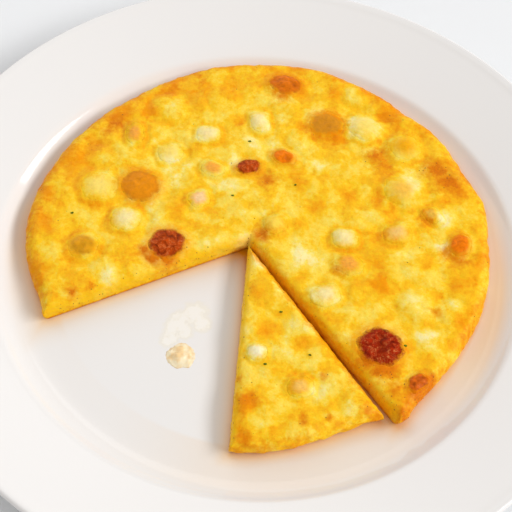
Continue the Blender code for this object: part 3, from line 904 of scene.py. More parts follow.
def filled(outline, inner):
    """Triangles that fill an outline through the given inner points."""
    places = [Vector(place) for place in np.vstack([outline, inner]).tolist()]
    loop = list(range(len(outline)))
    inside_only, tolerance = 1, 1e-7
    result = geometry.delaunay_2d_cdt(places, [], [loop], inside_only, tolerance)
    triangles, origins = result[2], result[3]
    source = [places_before[0] for places_before in origins]
    return [tuple(source[i] for i in face) for face in triangles]


def lattice(body, level, step, seed):
    """Points of a slightly shaken triangular lattice inside a body's outline at a level."""
    random = np.random.default_rng(seed)
    reach = 1.05 * FOOD_RADIUS
    rows = np.arange(-reach, reach, step * math.sqrt(0.75))
    columns = np.arange(-reach, reach, step)
    x, y = np.meshgrid(columns, rows)
    x = x + 0.5 * step * (np.arange(len(rows)) % 2)[:, None]
    places = np.column_stack([x.ravel(), y.ravel()]) + body.middle
    places += random.uniform(-0.12, 0.12, places.shape) * step
    return places[body.inside(places, level, 0.6 * step)]


def relaxed(points, edges, weight, rounds):
    """Draw points towards the mean of their neighbours, by a weight for each."""
    count = np.bincount(edges.ravel(), minlength=len(points))[:, None]
    for _ in range(rounds):
        total = np.zeros_like(points)
        np.add.at(total, edges[:, 0], points[edges[:, 1]])
        np.add.at(total, edges[:, 1], points[edges[:, 0]])
        points = points + weight[:, None] * (total / count - points)
    return points


def body_faces(outlines, top, bottom):
    """Faces of the sides between outlines and of the filled top and bottom of a body."""
    ring = len(outlines[0])
    last = len(outlines) - 1
    sides = ring * len(outlines)
    faces = [face for level in range(last) for face in band_faces(level * ring, ring)]
    for outline, inner, on_outline, beyond in (
            (outlines[0], top, 0, sides),
            (outlines[last], bottom, last * ring, sides + len(top))):
        faces += [tuple(i + on_outline if i < ring else i - ring + beyond for i in face)
                  for face in filled(outline, inner)]
    return faces


def egg_mesh(node, settings):
    """Return the fine closed mesh of one body of egg, with its colour fields."""
    body = EggBody(node, settings.step)
    last = SIDE_LEVELS - 1
    outlines = [body.outline(level) for level in range(SIDE_LEVELS)]
    top = lattice(body, 0, settings.step, seed=3)
    bottom = lattice(body, last, UNDERSIDE_STEP, seed=4)
    plan = np.vstack([*outlines, top, bottom])
    ring = len(outlines[0])
    sides = SIDE_LEVELS * ring

    height = np.concatenate([
        *[body.heights(level) for level in range(SIDE_LEVELS)],
        np.full(len(top), FOOD_THICKNESS), np.zeros(len(bottom))])
    share = height / FOOD_THICKNESS
    raised = height > 0.0
    relief = np.zeros(len(plan))
    relief[raised] = egg_relief(plan[raised])
    points = np.column_stack([plan, bed_height(plan) + height + share * relief])
    mesh = plain_mesh(node + "_egg", points, body_faces(outlines, top, bottom))

    above = sides + len(top)
    weight = np.zeros(len(points))
    weight[:above] = 0.5 * bell(body.edge_distance(plan[:above]) / EDGE_ROUND)
    weight[last * ring:sides] = 0.0
    points = relaxed(points, mesh_edges(mesh), weight, EDGE_ROUNDS)

    cut = np.zeros(len(points))
    steepness = np.repeat(ramp(np.arange(SIDE_LEVELS), 3.0, 5.0), ring)
    cut[:sides] = (1.0 - np.tile(body.rim_weight(), SIDE_LEVELS)) * steepness
    points = roughened(body, points, ring, cut)
    grain = egg_grain(plan, settings)
    points[raised, 2] += (share * grain - sinking(plan))[raised]
    mesh.vertices.foreach_set("co", points.ravel())

    fields = egg_fields(body.middle, plan, share, cut)
    # The upper edges of the cuts beside the gap get painted shade in the toasted colour.
    fields["toasted"] = np.maximum(fields["toasted"], gap_shade_edge(node, plan))
    fields["height"] = (curd_relief(plan) + grain) / MM
    for name, values in fields.items():
        set_attribute(mesh, name, values)
    mesh.update()
    return mesh


def roughened(body, points, ring, cut):
    """Push the side of a body in and out, with broad layers across its knife cuts."""
    sides = SIDE_LEVELS * ring
    rows = points[:sides].reshape(SIDE_LEVELS, ring, 3)
    along = np.roll(rows, -1, axis=1) - np.roll(rows, 1, axis=1)
    outward = np.stack([along[..., 1], -along[..., 0]], axis=-1)
    outward /= np.linalg.norm(outward, axis=-1, keepdims=True)
    flattened = points[:sides] * (1.0, 1.0, 2.2)
    grain = noise_at(points[:sides], pitch=2.2 * MM, seed=3.0)
    layers = noise_at(flattened, pitch=5.0 * MM, seed=8.0) * cut[:sides]
    lumps = noise_at(flattened, pitch=4.0 * MM, seed=12.0)
    lumps *= np.tile(body.rim_weight(), SIDE_LEVELS)
    push = 0.28 * MM * grain + 0.25 * MM * layers + 0.50 * MM * lumps
    level = np.repeat(np.arange(SIDE_LEVELS), ring)
    push *= ramp(level, 0.0, 4.0) * (level < SIDE_LEVELS - 1)
    moved = points.copy()
    moved[:sides, :2] += outward.reshape(-1, 2) * push[:, None]
    return moved


def gap_shade_edge(node, plan):
    """Strength of the painted shade, in the toasted colour, along the knife cuts of a body that face
    the gap.
    """
    shape = BODIES[node]
    offsets = plan - FOOD_MIDDLE - shape["corner"]
    strength = np.zeros(len(plan))
    before_rim = 1.0 - ramp(np.hypot(*offsets.T), 86.0 * MM, 12.0 * MM)
    width = 2.9 * MM * (1.0 + 0.5 * noise_at(plan, pitch=9.0 * MM, seed=61.0))
    for (angle, _, _), inward, brown in zip(shape["cuts"], (90.0, -90.0), shape["browned"]):
        depth = np.maximum(offsets @ unit(angle + inward), 0.0)
        past_corner = ramp(offsets @ unit(angle), 0.0, 5.0 * MM)
        edge = brown * before_rim * past_corner * bell(depth / width)
        strength = np.maximum(strength, edge)
    return strength


def egg_fields(middle, plan, share, cut):
    """Strengths of the egg's golden, toasted, pale, oily and cut looks at its points; the golden and
    toasted ones also hold painted shade.
    """
    angles, reach = polar(plan - middle)
    angles = np.degrees(angles)
    reach = reach / rim_radius(angles)

    # The hollows are golden, partly as painted shade, and so is a patchy band along the rim, most of
    # all at the back left.
    golden = spot_field(plan, GOLDEN_AND_SHADED_HOLLOWS, 1.4 * MM)
    patches = 0.65 + 0.7 * noise_at(plan, pitch=16.0 * MM, seed=51.0)
    patches += 0.2 * np.cos(np.radians(angles - 125.0))
    golden = np.maximum(golden, 0.75 * ramp(reach, 0.78, 0.18) * np.clip(patches, 0.15, 1.0))

    # The toasted spots, some of them painted shade beside lumps and pieces; the rim's edge is
    # toasted in patches, and the skin that lay on the pan all over.
    toasted = spot_field(plan, TOASTED_AND_SHADED_SPOTS, 1.6 * MM)
    patches = np.clip(0.5 + 0.9 * noise_at(plan, pitch=12.0 * MM, seed=41.0), 0.0, 1.0)
    edge = bell((reach - 1.0) / 0.035) * (cut < 0.5)
    toasted = np.maximum(toasted, 0.55 * patches * edge)
    toasted = np.maximum(toasted, 0.7 * bell(share / 0.13))

    # Round the chorizo the egg is oily; round the other pieces a golden ring is painted shade in the
    # moat; round potato it is pale.
    pale = spot_field(plan, PALE_CURDS, 1.6 * MM)
    oily = np.zeros(len(plan))
    for piece, rows, distance in pieces_near(plan):
        if piece.kind == "chorizo":
            oily[rows] = np.maximum(oily[rows], halo(distance, *OILY_HALO))
        else:
            radius, width, strength = GOLDEN_MOAT_SHADE
            ring = strength * bell((distance - radius) / width)
            golden[rows] = np.maximum(golden[rows], ring)
        if PIECE_LOOKS[piece.node][0] in PALE_TONES:
            pale[rows] = np.maximum(pale[rows], halo(distance, *PALE_HALO))
    return {"golden": golden, "toasted": toasted, "pale": pale, "oily": oily, "cut": cut}


def egg_look(settings):
    """Node group of the egg's look, shared by the egg and by the film of it on the pieces."""
    tree = bpy.data.node_groups.new("egg_look", "ShaderNodeTree")
    for name, kind in (("Colour", "Color"), ("Roughness", "Float"), ("Relief", "Float")):
        tree.interface.new_socket(name, in_out="OUTPUT", socket_type="NodeSocket" + kind)
    place = add_node(tree, "ShaderNodeTexCoord").outputs["Object"]
    field = {}
    for name in ("golden", "toasted", "pale", "oily", "cut", "height"):
        field[name] = add_node(tree, "ShaderNodeAttribute", attribute_name=name).outputs["Fac"]
    broad = add_node(tree, "ShaderNodeTexNoise", {
        "Vector": place, "Scale": per_size(11.0 * MM), "Detail": 3.0, "Roughness": 0.55,
        "Distortion": 0.3})
    clumps = add_node(tree, "ShaderNodeMapRange", {
        "Value": broad.outputs["Fac"], "From Min": 0.43, "From Max": 0.57, "To Max": 0.19},
        interpolation_type="SMOOTHSTEP")
    curds = add_node(tree, "ShaderNodeTexNoise", {
        "Vector": place, "Scale": per_size(2.4 * MM), "Detail": 4.0, "Roughness": 0.65})
    grain = add_node(tree, "ShaderNodeTexNoise", {
        "Vector": place, "Scale": per_size(0.8 * MM), "Detail": 2.0, "Roughness": 0.6})

    # The noises and the fields add up to a depth of colour from pale to golden; the golden field and
    # the low parts of the relief paint shade in the hollows and moats as well as deeper egg.
    depth = add_node(tree, "ShaderNodeMath", {
        0: broad.outputs["Fac"], 1: 0.60, 2: -0.34}, operation="MULTIPLY_ADD")
    depth = add_node(tree, "ShaderNodeMath", {0: depth.outputs[0], 1: clumps.outputs[0]})
    for value, weight in (
            (curds.outputs["Fac"], 0.57), (grain.outputs["Fac"], 0.36),
            (field["golden"], 0.50), (field["pale"], -0.50), (field["height"], -0.22)):
        depth = add_node(tree, "ShaderNodeMath", {
            0: value, 1: weight, 2: depth.outputs[0]}, operation="MULTIPLY_ADD")
    body = add_node(tree, "ShaderNodeValToRGB", {"Fac": depth.outputs[0]}, stops=[
        (0.0, settings.curd), (0.28, settings.pale), (0.56, settings.yellow),
        (1.0, settings.golden)])

    # Over it lie the cut egg, the toasted egg with the painted shade drawn in its colour, its burnt
    # flecks and the oil of the chorizo.
    inside = add_node(tree, "ShaderNodeMath", {
        0: field["cut"], 1: 0.7}, operation="MULTIPLY")
    heat = add_node(tree, "ShaderNodeMath", {
        0: field["toasted"], 1: curds.outputs["Fac"]}, operation="ADD")
    heat = add_node(tree, "ShaderNodeMapRange", {
        "Value": heat.outputs[0], "From Min": 0.58, "From Max": 1.30})
    scorch = add_node(tree, "ShaderNodeMath", {
        0: heat.outputs[0], 1: grain.outputs["Fac"]}, operation="MULTIPLY")
    scorch = add_node(tree, "ShaderNodeMapRange", {
        "Value": scorch.outputs[0], "From Min": 0.44, "From Max": 0.68, "To Max": 0.30})
    oil = add_node(tree, "ShaderNodeMath", {
        0: field["oily"], 1: curds.outputs["Fac"]}, operation="MULTIPLY")
    colour = body.outputs["Color"]
    for layer, tone in ((inside, settings.inside), (heat, settings.toasted),
                        (scorch, settings.burnt), (oil, settings.oiled)):
        body = add_node(tree, "ShaderNodeMix", {
            SHARE: layer.outputs[0], FIRST: colour, SECOND: (*tone, 1.0)}, data_type="RGBA")
        colour = body.outputs[MIXED]

    wet = add_node(tree, "ShaderNodeMapRange", {
        "Value": curds.outputs["Fac"], "From Min": 0.3, "From Max": 0.7,
        "To Min": 0.30, "To Max": 0.56})
    relief = add_node(tree, "ShaderNodeMath", {
        0: grain.outputs["Fac"], 1: 0.4, 2: curds.outputs["Fac"]}, operation="MULTIPLY_ADD")
    add_node(tree, "NodeGroupOutput", {
        "Colour": colour, "Roughness": wet.outputs[0], "Relief": relief.outputs[0]})
    return tree


def egg_material(look):
    """Egg custard set in a hot pan: moist and curdled, golden in its hollows, toasted in spots, with
    painted shade in hollows, moats and along the gap.
    """
    material, tree, shader = new_material("egg_custard_pan_set", 0.42)
    egg = add_node(tree, "ShaderNodeGroup", node_tree=look)
    bump = add_node(tree, "ShaderNodeBump", {
        "Height": egg.outputs["Relief"], "Distance": 0.36 * MM, "Strength": 0.8})
    set_inputs(tree, shader, {
        "Base Color": egg.outputs["Colour"], "Roughness": egg.outputs["Roughness"],
        "Normal": bump.outputs[0]})
    soften(tree, shader, (1.0, 0.5, 0.12))
    return material


def soften(tree, shader, radius):
    """Let light travel a little way under the surface, as in moist food, and dull its gloss."""
    set_inputs(tree, shader, {
        "Subsurface Weight": 0.25, "Subsurface Radius": radius,
        "Subsurface Scale": 1.5 * MM, "Specular IOR Level": 0.12})


def under_egg(tree, shader, look, kind, colour, relief):
    """Mix a piece's own colour and relief with the film of egg that laps over its edge."""
    start, width = EGG_LAPS[kind]
    egg = add_node(tree, "ShaderNodeGroup", node_tree=look)
    edge, film = (add_node(tree, "ShaderNodeAttribute", attribute_name=name)
                  for name in ("edge", "film"))
    ragged = add_node(tree, "ShaderNodeMath", {
        0: egg.outputs["Relief"], 1: 0.5, 2: edge.outputs["Fac"]}, operation="MULTIPLY_ADD")
    ragged = add_node(tree, "ShaderNodeMath", {
        0: film.outputs["Fac"], 1: 0.4, 2: ragged.outputs[0]}, operation="MULTIPLY_ADD")
    lap = add_node(tree, "ShaderNodeMapRange", {
        "Value": ragged.outputs[0], "From Min": start, "From Max": start + width},
        interpolation_type="SMOOTHSTEP")
    body = add_node(tree, "ShaderNodeMix", {
        SHARE: lap.outputs[0], FIRST: colour, SECOND: egg.outputs["Colour"]}, data_type="RGBA")
    both = add_node(tree, "ShaderNodeMath", {
        0: egg.outputs["Relief"], 1: 0.6, 2: relief}, operation="MULTIPLY_ADD")
    bump = add_node(tree, "ShaderNodeBump", {
        "Height": both.outputs[0], "Distance": 0.4 * MM, "Strength": 0.8})
    set_inputs(tree, shader, {"Base Color": body.outputs[MIXED], "Normal": bump.outputs[0]})


def shaded(tree, colour, noise_value, darkest, lightest):
    """Scale a colour by a noise, between its darkest and its lightest share."""
    share = add_node(tree, "ShaderNodeMapRange", {
        "Value": noise_value, "From Min": 0.3, "From Max": 0.7,
        "To Min": darkest, "To Max": lightest})
    return add_node(tree, "ShaderNodeVectorMath", {
        0: colour, "Scale": share.outputs[0]}, operation="SCALE").outputs[0]


def potato_material(look):
    """Boiled potato under a film of egg: pale, close-grained and moist."""
    material, tree, shader = new_material("potato_boiled_diced", 0.42)
    place = add_node(tree, "ShaderNodeTexCoord").outputs["Object"]
    tone = add_node(tree, "ShaderNodeAttribute", attribute_name="tone")
    grain = add_node(tree, "ShaderNodeTexNoise", {
        "Vector": place, "Scale": per_size(1.8 * MM), "Detail": 3.0, "Roughness": 0.6})
    colour = shaded(tree, tone.outputs["Color"], grain.outputs["Fac"], 0.90, 1.05)
    under_egg(tree, shader, look, "potato", colour, grain.outputs["Fac"])
    soften(tree, shader, (1.0, 0.6, 0.25))
    return material


def chorizo_material(look, settings):
    """Fried chorizo: coarse red meat with flecks of fat, oily, dark where its edge caught, with
    painted shade in its dents.
    """
    material, tree, shader = new_material("chorizo_fried_sliced", 0.34)
    set_inputs(tree, shader, {"Specular IOR Level": 0.08})
    place = add_node(tree, "ShaderNodeTexCoord").outputs["Object"]
    tone, edge, dent = (add_node(tree, "ShaderNodeAttribute", attribute_name=name)
                        for name in ("tone", "edge", "dent"))
    meat = add_node(tree, "ShaderNodeTexNoise", {
        "Vector": place, "Scale": per_size(2.6 * MM), "Detail": 4.0, "Roughness": 0.6,
        "Distortion": 0.5})

    # The red pieces are coarse, with flecks of fat; the ones soaked with egg are even.
    channels = add_node(tree, "ShaderNodeSeparateColor", {0: tone.outputs["Color"]})
    redness = add_node(tree, "ShaderNodeMapRange", {
        "Value": channels.outputs["Green"], "From Min": 0.26, "From Max": 0.05})
    darkest = add_node(tree, "ShaderNodeMath", {
        0: redness.outputs[0], 1: -0.45, 2: 0.86}, operation="MULTIPLY_ADD")
    lightest = add_node(tree, "ShaderNodeMath", {
        0: redness.outputs[0], 1: 0.42, 2: 1.10}, operation="MULTIPLY_ADD")
    colour = shaded(
        tree, tone.outputs["Color"], meat.outputs["Fac"], darkest.outputs[0],
        lightest.outputs[0])
    flecks = add_node(tree, "ShaderNodeTexNoise", {
        "Vector": place, "Scale": per_size(1.1 * MM), "Detail": 3.0, "Roughness": 0.6,
        "Distortion": 1.2})
    fleck = add_node(tree, "ShaderNodeMapRange", {
        "Value": flecks.outputs["Fac"], "From Min": 0.48, "From Max": 0.64})
    patchy = add_node(tree, "ShaderNodeMapRange", {
        "Value": meat.outputs["Fac"], "From Min": 0.44, "From Max": 0.62, "To Max": 0.75})
    fat = add_node(tree, "ShaderNodeMath", {
        0: fleck.outputs[0], 1: patchy.outputs[0]}, operation="MULTIPLY")
    fat = add_node(tree, "ShaderNodeMath", {
        0: fat.outputs[0], 1: redness.outputs[0]}, operation="MULTIPLY")
    body = add_node(tree, "ShaderNodeMix", {
        SHARE: fat.outputs[0], FIRST: colour, SECOND: (*settings.fat, 1.0)}, data_type="RGBA")

    fried = add_node(tree, "ShaderNodeMath", {
        0: meat.outputs["Fac"], 1: 0.6, 2: edge.outputs["Fac"]}, operation="MULTIPLY_ADD")
    fried = add_node(tree, "ShaderNodeMapRange", {
        "Value": fried.outputs[0], "From Min": 1.0, "From Max": 1.35, "To Max": 0.45})
    # Each dent is darkened towards the char colour as painted shade.
    char_and_dent_shade = add_node(tree, "ShaderNodeMath", {
        0: dent.outputs["Fac"], 1: 0.45, 2: fried.outputs[0]}, operation="MULTIPLY_ADD",
        use_clamp=True)
    body = add_node(tree, "ShaderNodeMix", {
        SHARE: char_and_dent_shade.outputs[0], FIRST: body.outputs[MIXED], SECOND: (*settings.char, 1.0)},
        data_type="RGBA")
    under_egg(tree, shader, look, "chorizo", body.outputs[MIXED], meat.outputs["Fac"])
    return material


def ham_material(look, settings):
    """Diced ham: pinkish, fibrous and moist, fried to amber at its edges."""
    material, tree, shader = new_material("ham_cured_diced", 0.38)
    soften(tree, shader, (1.0, 0.5, 0.3))
    place = add_node(tree, "ShaderNodeTexCoord").outputs["Object"]
    tone, edge = (add_node(tree, "ShaderNodeAttribute", attribute_name=name)
                  for name in ("tone", "edge"))
    stretched = add_node(tree, "ShaderNodeMapping", {
        "Vector": place, "Scale": (1.0, 2.0, 1.0)})
    fibre = add_node(tree, "ShaderNodeTexNoise", {
        "Vector": stretched.outputs[0], "Scale": per_size(2.0 * MM), "Detail": 4.0,
        "Roughness": 0.6})
    fried = add_node(tree, "ShaderNodeMath", {
        0: fibre.outputs["Fac"], 1: 1.2, 2: edge.outputs["Fac"]}, operation="MULTIPLY_ADD")
    fried = add_node(tree, "ShaderNodeMapRange", {
        "Value": fried.outputs[0], "From Min": 0.95, "From Max": 1.65, "To Max": 0.9})
    body = add_node(tree, "ShaderNodeMix", {
        SHARE: fried.outputs[0], FIRST: tone.outputs["Color"], SECOND: (*settings.fried_ham, 1.0)},
        data_type="RGBA")
    colour = shaded(tree, body.outputs[MIXED], fibre.outputs["Fac"], 0.86, 1.08)
    under_egg(tree, shader, look, "ham", colour, fibre.outputs["Fac"])
    return material


def onion_material(look):
    """Softened onion: glassy and olive-brown, lighter where the egg laps over it."""
    material, tree, shader = new_material("onion_softened", 0.3)
    soften(tree, shader, (1.0, 0.6, 0.2))
    place = add_node(tree, "ShaderNodeTexCoord").outputs["Object"]
    tone = add_node(tree, "ShaderNodeAttribute", attribute_name="tone")
    layers = add_node(tree, "ShaderNodeTexNoise", {
        "Vector": place, "Scale": per_size(3.0 * MM), "Detail": 4.0})
    colour = shaded(tree, tone.outputs["Color"], layers.outputs["Fac"], 0.80, 1.15)
    under_egg(tree, shader, look, "onion", colour, layers.outputs["Fac"])
    return material


def blotched_material(name, roughness, first, second, grain):
    """Crumb of food whose colour drifts between two tones, for the smallest pieces."""
    material, tree, shader = new_material(name, roughness)
    place = add_node(tree, "ShaderNodeTexCoord").outputs["Object"]
    blotch = add_node(tree, "ShaderNodeTexNoise", {
        "Vector": place, "Scale": per_size(grain), "Detail": 3.0})
    share = add_node(tree, "ShaderNodeMapRange", {
        "Value": blotch.outputs["Fac"], "From Min": 0.42, "From Max": 0.62})
    body = add_node(tree, "ShaderNodeMix", {
        SHARE: share.outputs[0], FIRST: (*first, 1.0), SECOND: (*second, 1.0)}, data_type="RGBA")
    set_inputs(tree, shader, {"Base Color": body.outputs[MIXED]})
    return material, tree, shader


def toasted_material(settings):
    """Crust of egg, toasted dry in the pan: dull brown, lighter where it caught less heat."""
    return blotched_material(
        "egg_crust_toasted", 0.6, settings.speck, settings.speck_light, 0.5 * MM)[0]


def herb_material(settings):
    """Dried, chopped herb: matt green, darker where a scrap is folded."""
    material, tree, shader = blotched_material(
        "herb_dried_chopped", 0.7, settings.herb, settings.herb_dark, 0.9 * MM)
    set_inputs(tree, shader, {"Specular IOR Level": 0.1})
    return material


def flake_material(settings):
    """Boiled potato, fallen off its piece: pale and moist, with browner blotches."""
    material, tree, shader = blotched_material(
        "potato_flake_moist", 0.35, settings.flake, settings.flake_edge, 3.0 * MM)
    set_inputs(tree, shader, {
        "Subsurface Weight": 0.1, "Subsurface Radius": (1.0, 0.8, 0.5),
        "Subsurface Scale": 2.0 * MM})
    return material


def piece_dent(piece, places):
    """Depth of the dents in a single piece."""
    depth = np.zeros(len(places))
    for x, y, radius, deep in PIECE_DENTS.get(piece.node, ()):
        depth += deep * MM * bell(from_spot(places - piece.middle, x, y, radius))
    return depth


def piece_relief(piece, plan, spread):
    """Height of a piece's crown, lumps and dents over the egg, at its shares of the outline."""
    crown, lump, pitch = KIND_SHAPES[piece.kind]
    seed = piece.middle[0] / MM
    lumps = noise_at(plan, pitch, seed) + 0.5 * noise_at(plan, 0.5 * pitch, seed + 4.0)
    inward = np.clip(1.0 - spread ** 2, 0.0, 1.0)
    relief = crown * inward ** 1.5 + lump * lumps * inward ** 0.5 - piece_dent(piece, plan)
    clearance, dip = 0.06 * MM, 5.0 * MM
    return relief + clearance - dip * ramp(spread, 0.98, 1.0)


def piece_mesh(piece, settings, egg):
    """Return the closed mesh of one diced piece, whose edge dips under the face of the egg."""
    sides = settings.sides
    angles = np.radians(np.arange(sides) * 360.0 / sides)
    outline = on_circle(angles) * piece.radius(angles)[:, None]
    spreads = np.linspace(0.0, PIECE_OVERLAP, settings.rings + 1)[1:]
    spread = np.concatenate([[0.0], np.repeat(spreads, sides)])
    plan = np.vstack([[piece.middle]] + [piece.middle + outline * share for share in spreads])
    grain = egg_grain(plan, egg)
    kept_grain = np.clip((spread - 0.6) / 0.4, 0.3, 1.0) * grain
    height = FOOD_THICKNESS + egg_relief(plan) + kept_grain + piece_relief(piece, plan, spread)
    top = np.column_stack([plan, bed_height(plan) + height])
    walls = []
    for share in (0.3, 0.65, 1.0):
        level = top[-sides:].copy()
        level[:, 2] += share * (piece.low - level[:, 2])
        walls.append(level)
    points = np.vstack([top, *walls, [[*piece.middle, piece.low]]])

    foot = len(points) - 1
    last = foot - sides
    faces = [(0, 1 + i, 1 + (i + 1) % sides) for i in range(sides)]
    faces += [face for base in range(1, last, sides) for face in band_faces(base, sides)]
    faces += [(foot, last + (i + 1) % sides, last + i) for i in range(sides)]
    mesh = plain_mesh(piece.node + "_piece", points, faces)

    full = np.ones(len(plan))
    tone, film, _ = PIECE_LOOKS[piece.node]
    fields = egg_fields(FOOD_MIDDLE, plan, full, 0.0 * full)
    fields["height"] = (curd_relief(plan) + grain) / MM
    fields["edge"] = spread
    fields["dent"] = piece_dent(piece, plan) / MM
    fields["film"] = film * full
    for name, values in fields.items():
        below = np.full(len(points) - len(plan), values[-1])
        set_attribute(mesh, name, np.concatenate([values, below]))
    set_colour(mesh, "tone", linear_rgb(TONES[tone]))
    return mesh


def porcelain_material(settings):
    """Glazed porcelain: white body under a clear glaze, with oil and dried egg near the food, and
    painted shade and warm bounce light carried by the oil and the juice.
    """
    gloss = 0.09
    material, tree, shader = new_material("porcelain_white_glazed", gloss, ior=1.5)
    place = add_node(tree, "ShaderNodeTexCoord").outputs["Object"]
    oil, juice_shade_and_bounce, smear = (
        add_node(tree, "ShaderNodeAttribute", attribute_name=name).outputs["Fac"]
        for name in ("oil", "juice_shade_and_bounce", "smear"))
    ripple = add_node(tree, "ShaderNodeTexNoise", {
        "Vector": place, "Scale": per_size(22.0 * MM), "Detail": 1.0})
    ragged = add_node(tree, "ShaderNodeTexNoise", {
        "Vector": place, "Scale": per_size(3.0 * MM), "Detail": 3.0})
    patch = add_node(tree, "ShaderNodeMath", {
        0: smear, 1: ragged.outputs["Fac"]}, operation="MULTIPLY")
    patch = add_node(tree, "ShaderNodeMapRange", {
        "Value": patch.outputs[0], "From Min": 0.10, "From Max": 0.50})
    egg = add_node(tree, "ShaderNodeValToRGB", {"Fac": patch.outputs[0]}, stops=[
        (0.2, settings.smear_edge), (0.7, settings.smear)])
    cover = add_node(tree, "ShaderNodeMapRange", {
        "Value": patch.outputs[0], "From Max": 0.55, "To Max": 0.6})
    colour = (*settings.glaze, 1.0)
    # The oil and juice layers paint shade and warm bounce light beside the food as well as oil and
    # juice.
    for share, layer in ((oil, (*settings.oil, 1.0)), (juice_shade_and_bounce, (*settings.juice_shade_and_bounce, 1.0)),
                         (cover.outputs[0], egg.outputs["Color"])):
        body = add_node(tree, "ShaderNodeMix", {
            SHARE: share, FIRST: colour, SECOND: layer}, data_type="RGBA")
        colour = body.outputs[MIXED]
    matt = add_node(tree, "ShaderNodeMapRange", {
        "Value": patch.outputs[0], "To Min": gloss, "To Max": 0.5})
    bump = add_node(tree, "ShaderNodeBump", {
        "Height": ripple.outputs["Fac"], "Distance": 0.25 * MM, "Strength": 0.2})
    set_inputs(tree, shader, {
        "Base Color": colour, "Roughness": matt.outputs[0], "Normal": bump.outputs[0]})
    return material


def plate_section(settings):
    """Outline of the plate as (radius, height), from the middle of the well to the base."""
    past_verge = VERGE_RADIUS + 8.0 * MM
    lip_radius = PLATE_RADIUS - LIP_ROUND
    radii = np.concatenate([
        np.linspace(0.0, WELL_FLAT_RADIUS, 60)[:-1],
        np.linspace(WELL_FLAT_RADIUS, past_verge, 34),
        np.linspace(past_verge, lip_radius, 12)[1:]])
    window = np.linspace(-0.5, 0.5, 9) * settings.verge_round
    heights = np.mean([wall_height(radii + shift) for shift in window], axis=0)
    heights[-1] = LIP_HEIGHT
    section = list(zip(radii, heights))
    for angle in np.linspace(75.0, -50.0, 8):
        out, up = unit(angle) * LIP_ROUND
        section.append((lip_radius + out, LIP_HEIGHT - LIP_ROUND + up))

    # Under the plate: the back of its wall, the foot ring with its rounded edges, and the base.
    base = WELL_FLOOR - PLATE_THICKNESS
    foot_inner = FOOT_OUTER_RADIUS - FOOT_WIDTH
    under = [
        (VERGE_RADIUS + PLATE_THICKNESS, VERGE_HEIGHT - PLATE_THICKNESS + 0.3 * MM),
        (WELL_FLAT_RADIUS + 1.3 * PLATE_THICKNESS, base + 2.2 * MM),
        (FOOT_OUTER_RADIUS + 3.0 * MM, base + 0.1 * MM),
        (FOOT_OUTER_RADIUS + 0.8 * MM, base - 0.4 * MM),
        (FOOT_OUTER_RADIUS, 0.5 * MM),
        (FOOT_OUTER_RADIUS - 0.6 * MM, 0.0),
        (foot_inner + 0.6 * MM, 0.0),
        (foot_inner, 0.5 * MM),
        (foot_inner - 0.6 * MM, base - 0.5 * MM),
        (foot_inner - 3.0 * MM, base),
        (0.0, base),
    ]
    return section + under


def from_body(places, node):
    """Distance of rows of X and Y from one body of egg, 0 under it."""
    shape = BODIES[node]
    angles, reaches = polar(places - FOOD_MIDDLE - shape["slide"])
    beyond = reaches - rim_radius(np.degrees(angles))
    corner = FOOD_MIDDLE + shape["corner"]
    (first, _, _), (second, _, _) = shape["cuts"]
    before = (corner - places) @ unit(first + 90.0)
    after = (corner - places) @ unit(second - 90.0)
    wide = shape["sweep"] > 180.0
    past_cut = np.minimum(before, after) if wide else np.maximum(before, after)
    return np.maximum(np.maximum(beyond, past_cut), 0.0)


def outer_share(places, middle, half_width):
    """Share from 0 to 1 of the outer plate round an angle, both angles in degrees."""
    angles, reaches = polar(places)
    turn = turn_from(np.degrees(angles), middle)
    return bell(turn / half_width) * (reaches > 0.9 * WELL_FLAT_RADIUS)


def oil_shade_and_bounce_on_plate(points, settings):
    """Strengths of the oil round the food and the juice between the cuts, both with painted shade
    and painted warm bounce light.
    """
    places = points[:, :2]
    radius = np.hypot(*places.T)
    upper = points[:, 2] > 0.9 * wall_height(radius)
    whole, part = (from_body(places, node) for node in BODIES)
    nearest = np.minimum(whole, part)

    # The oil beside the food also paints the food's shadow on the plate and the egg's warm bounce
    # light.
    reach = settings.oil_and_shade_width * (1.0 + 0.5 * noise_at(places, pitch=20.0 * MM, seed=33.0))
    for middle, gain, half_width in OIL_AND_SHADE_REACHES:
        reach *= 1.0 + gain * outer_share(places, middle, half_width)
    oil = 0.8 * np.exp(-nearest / reach)
    # The films paint the egg's warm bounce light farther across the well, thinner right beside the
    # food.
    for middle, strength, half_width in OIL_AND_BOUNCE_FILMS:
        film = strength * np.exp(-nearest / FILM_FADE)
        film *= 1.0 - 0.6 * np.exp(-nearest / FILM_START)
        oil = np.maximum(oil, film * outer_share(places, middle, half_width))
    oil *= 1.0 - ramp(radius, OIL_LIMIT - OIL_LIMIT_FADE, OIL_LIMIT_FADE)

    # The juice paints shade in the gap between the cuts and warm bounce light in the corner where
    # they meet.
    corner = np.hypot(*(places - FOOD_MIDDLE - BODIES["frittata"]["corner"]).T)
    juice_shade_and_bounce = JUICE_SHADE_STRENGTH * np.exp(-(whole + part) / settings.juice_shade_width)
    juice_shade_and_bounce *= np.exp(-(corner / settings.juice_shade_reach) ** 4)
    return oil * upper, juice_shade_and_bounce * upper


def smear_on_plate(points):
    """Strength of the dried smears of egg on the bare part of the plate."""
    strength = np.zeros(len(points))
    for x, y, radius in SMEARS:
        strength = np.maximum(strength, bell(from_spot(points[:, :2], x, y, radius)))
    return strength


def new_shape_tree(name, inputs, output):
    """Return a Geometry Nodes tree with its named inputs and output, and its input node."""
    tree = bpy.data.node_groups.new(name, "GeometryNodeTree")
    for socket, kind in inputs.items():
        tree.interface.new_socket(socket, in_out="INPUT", socket_type="NodeSocket" + kind)
    tree.interface.new_socket(output, in_out="OUTPUT", socket_type="NodeSocketGeometry")
    return tree, add_node(tree, "NodeGroupInput")


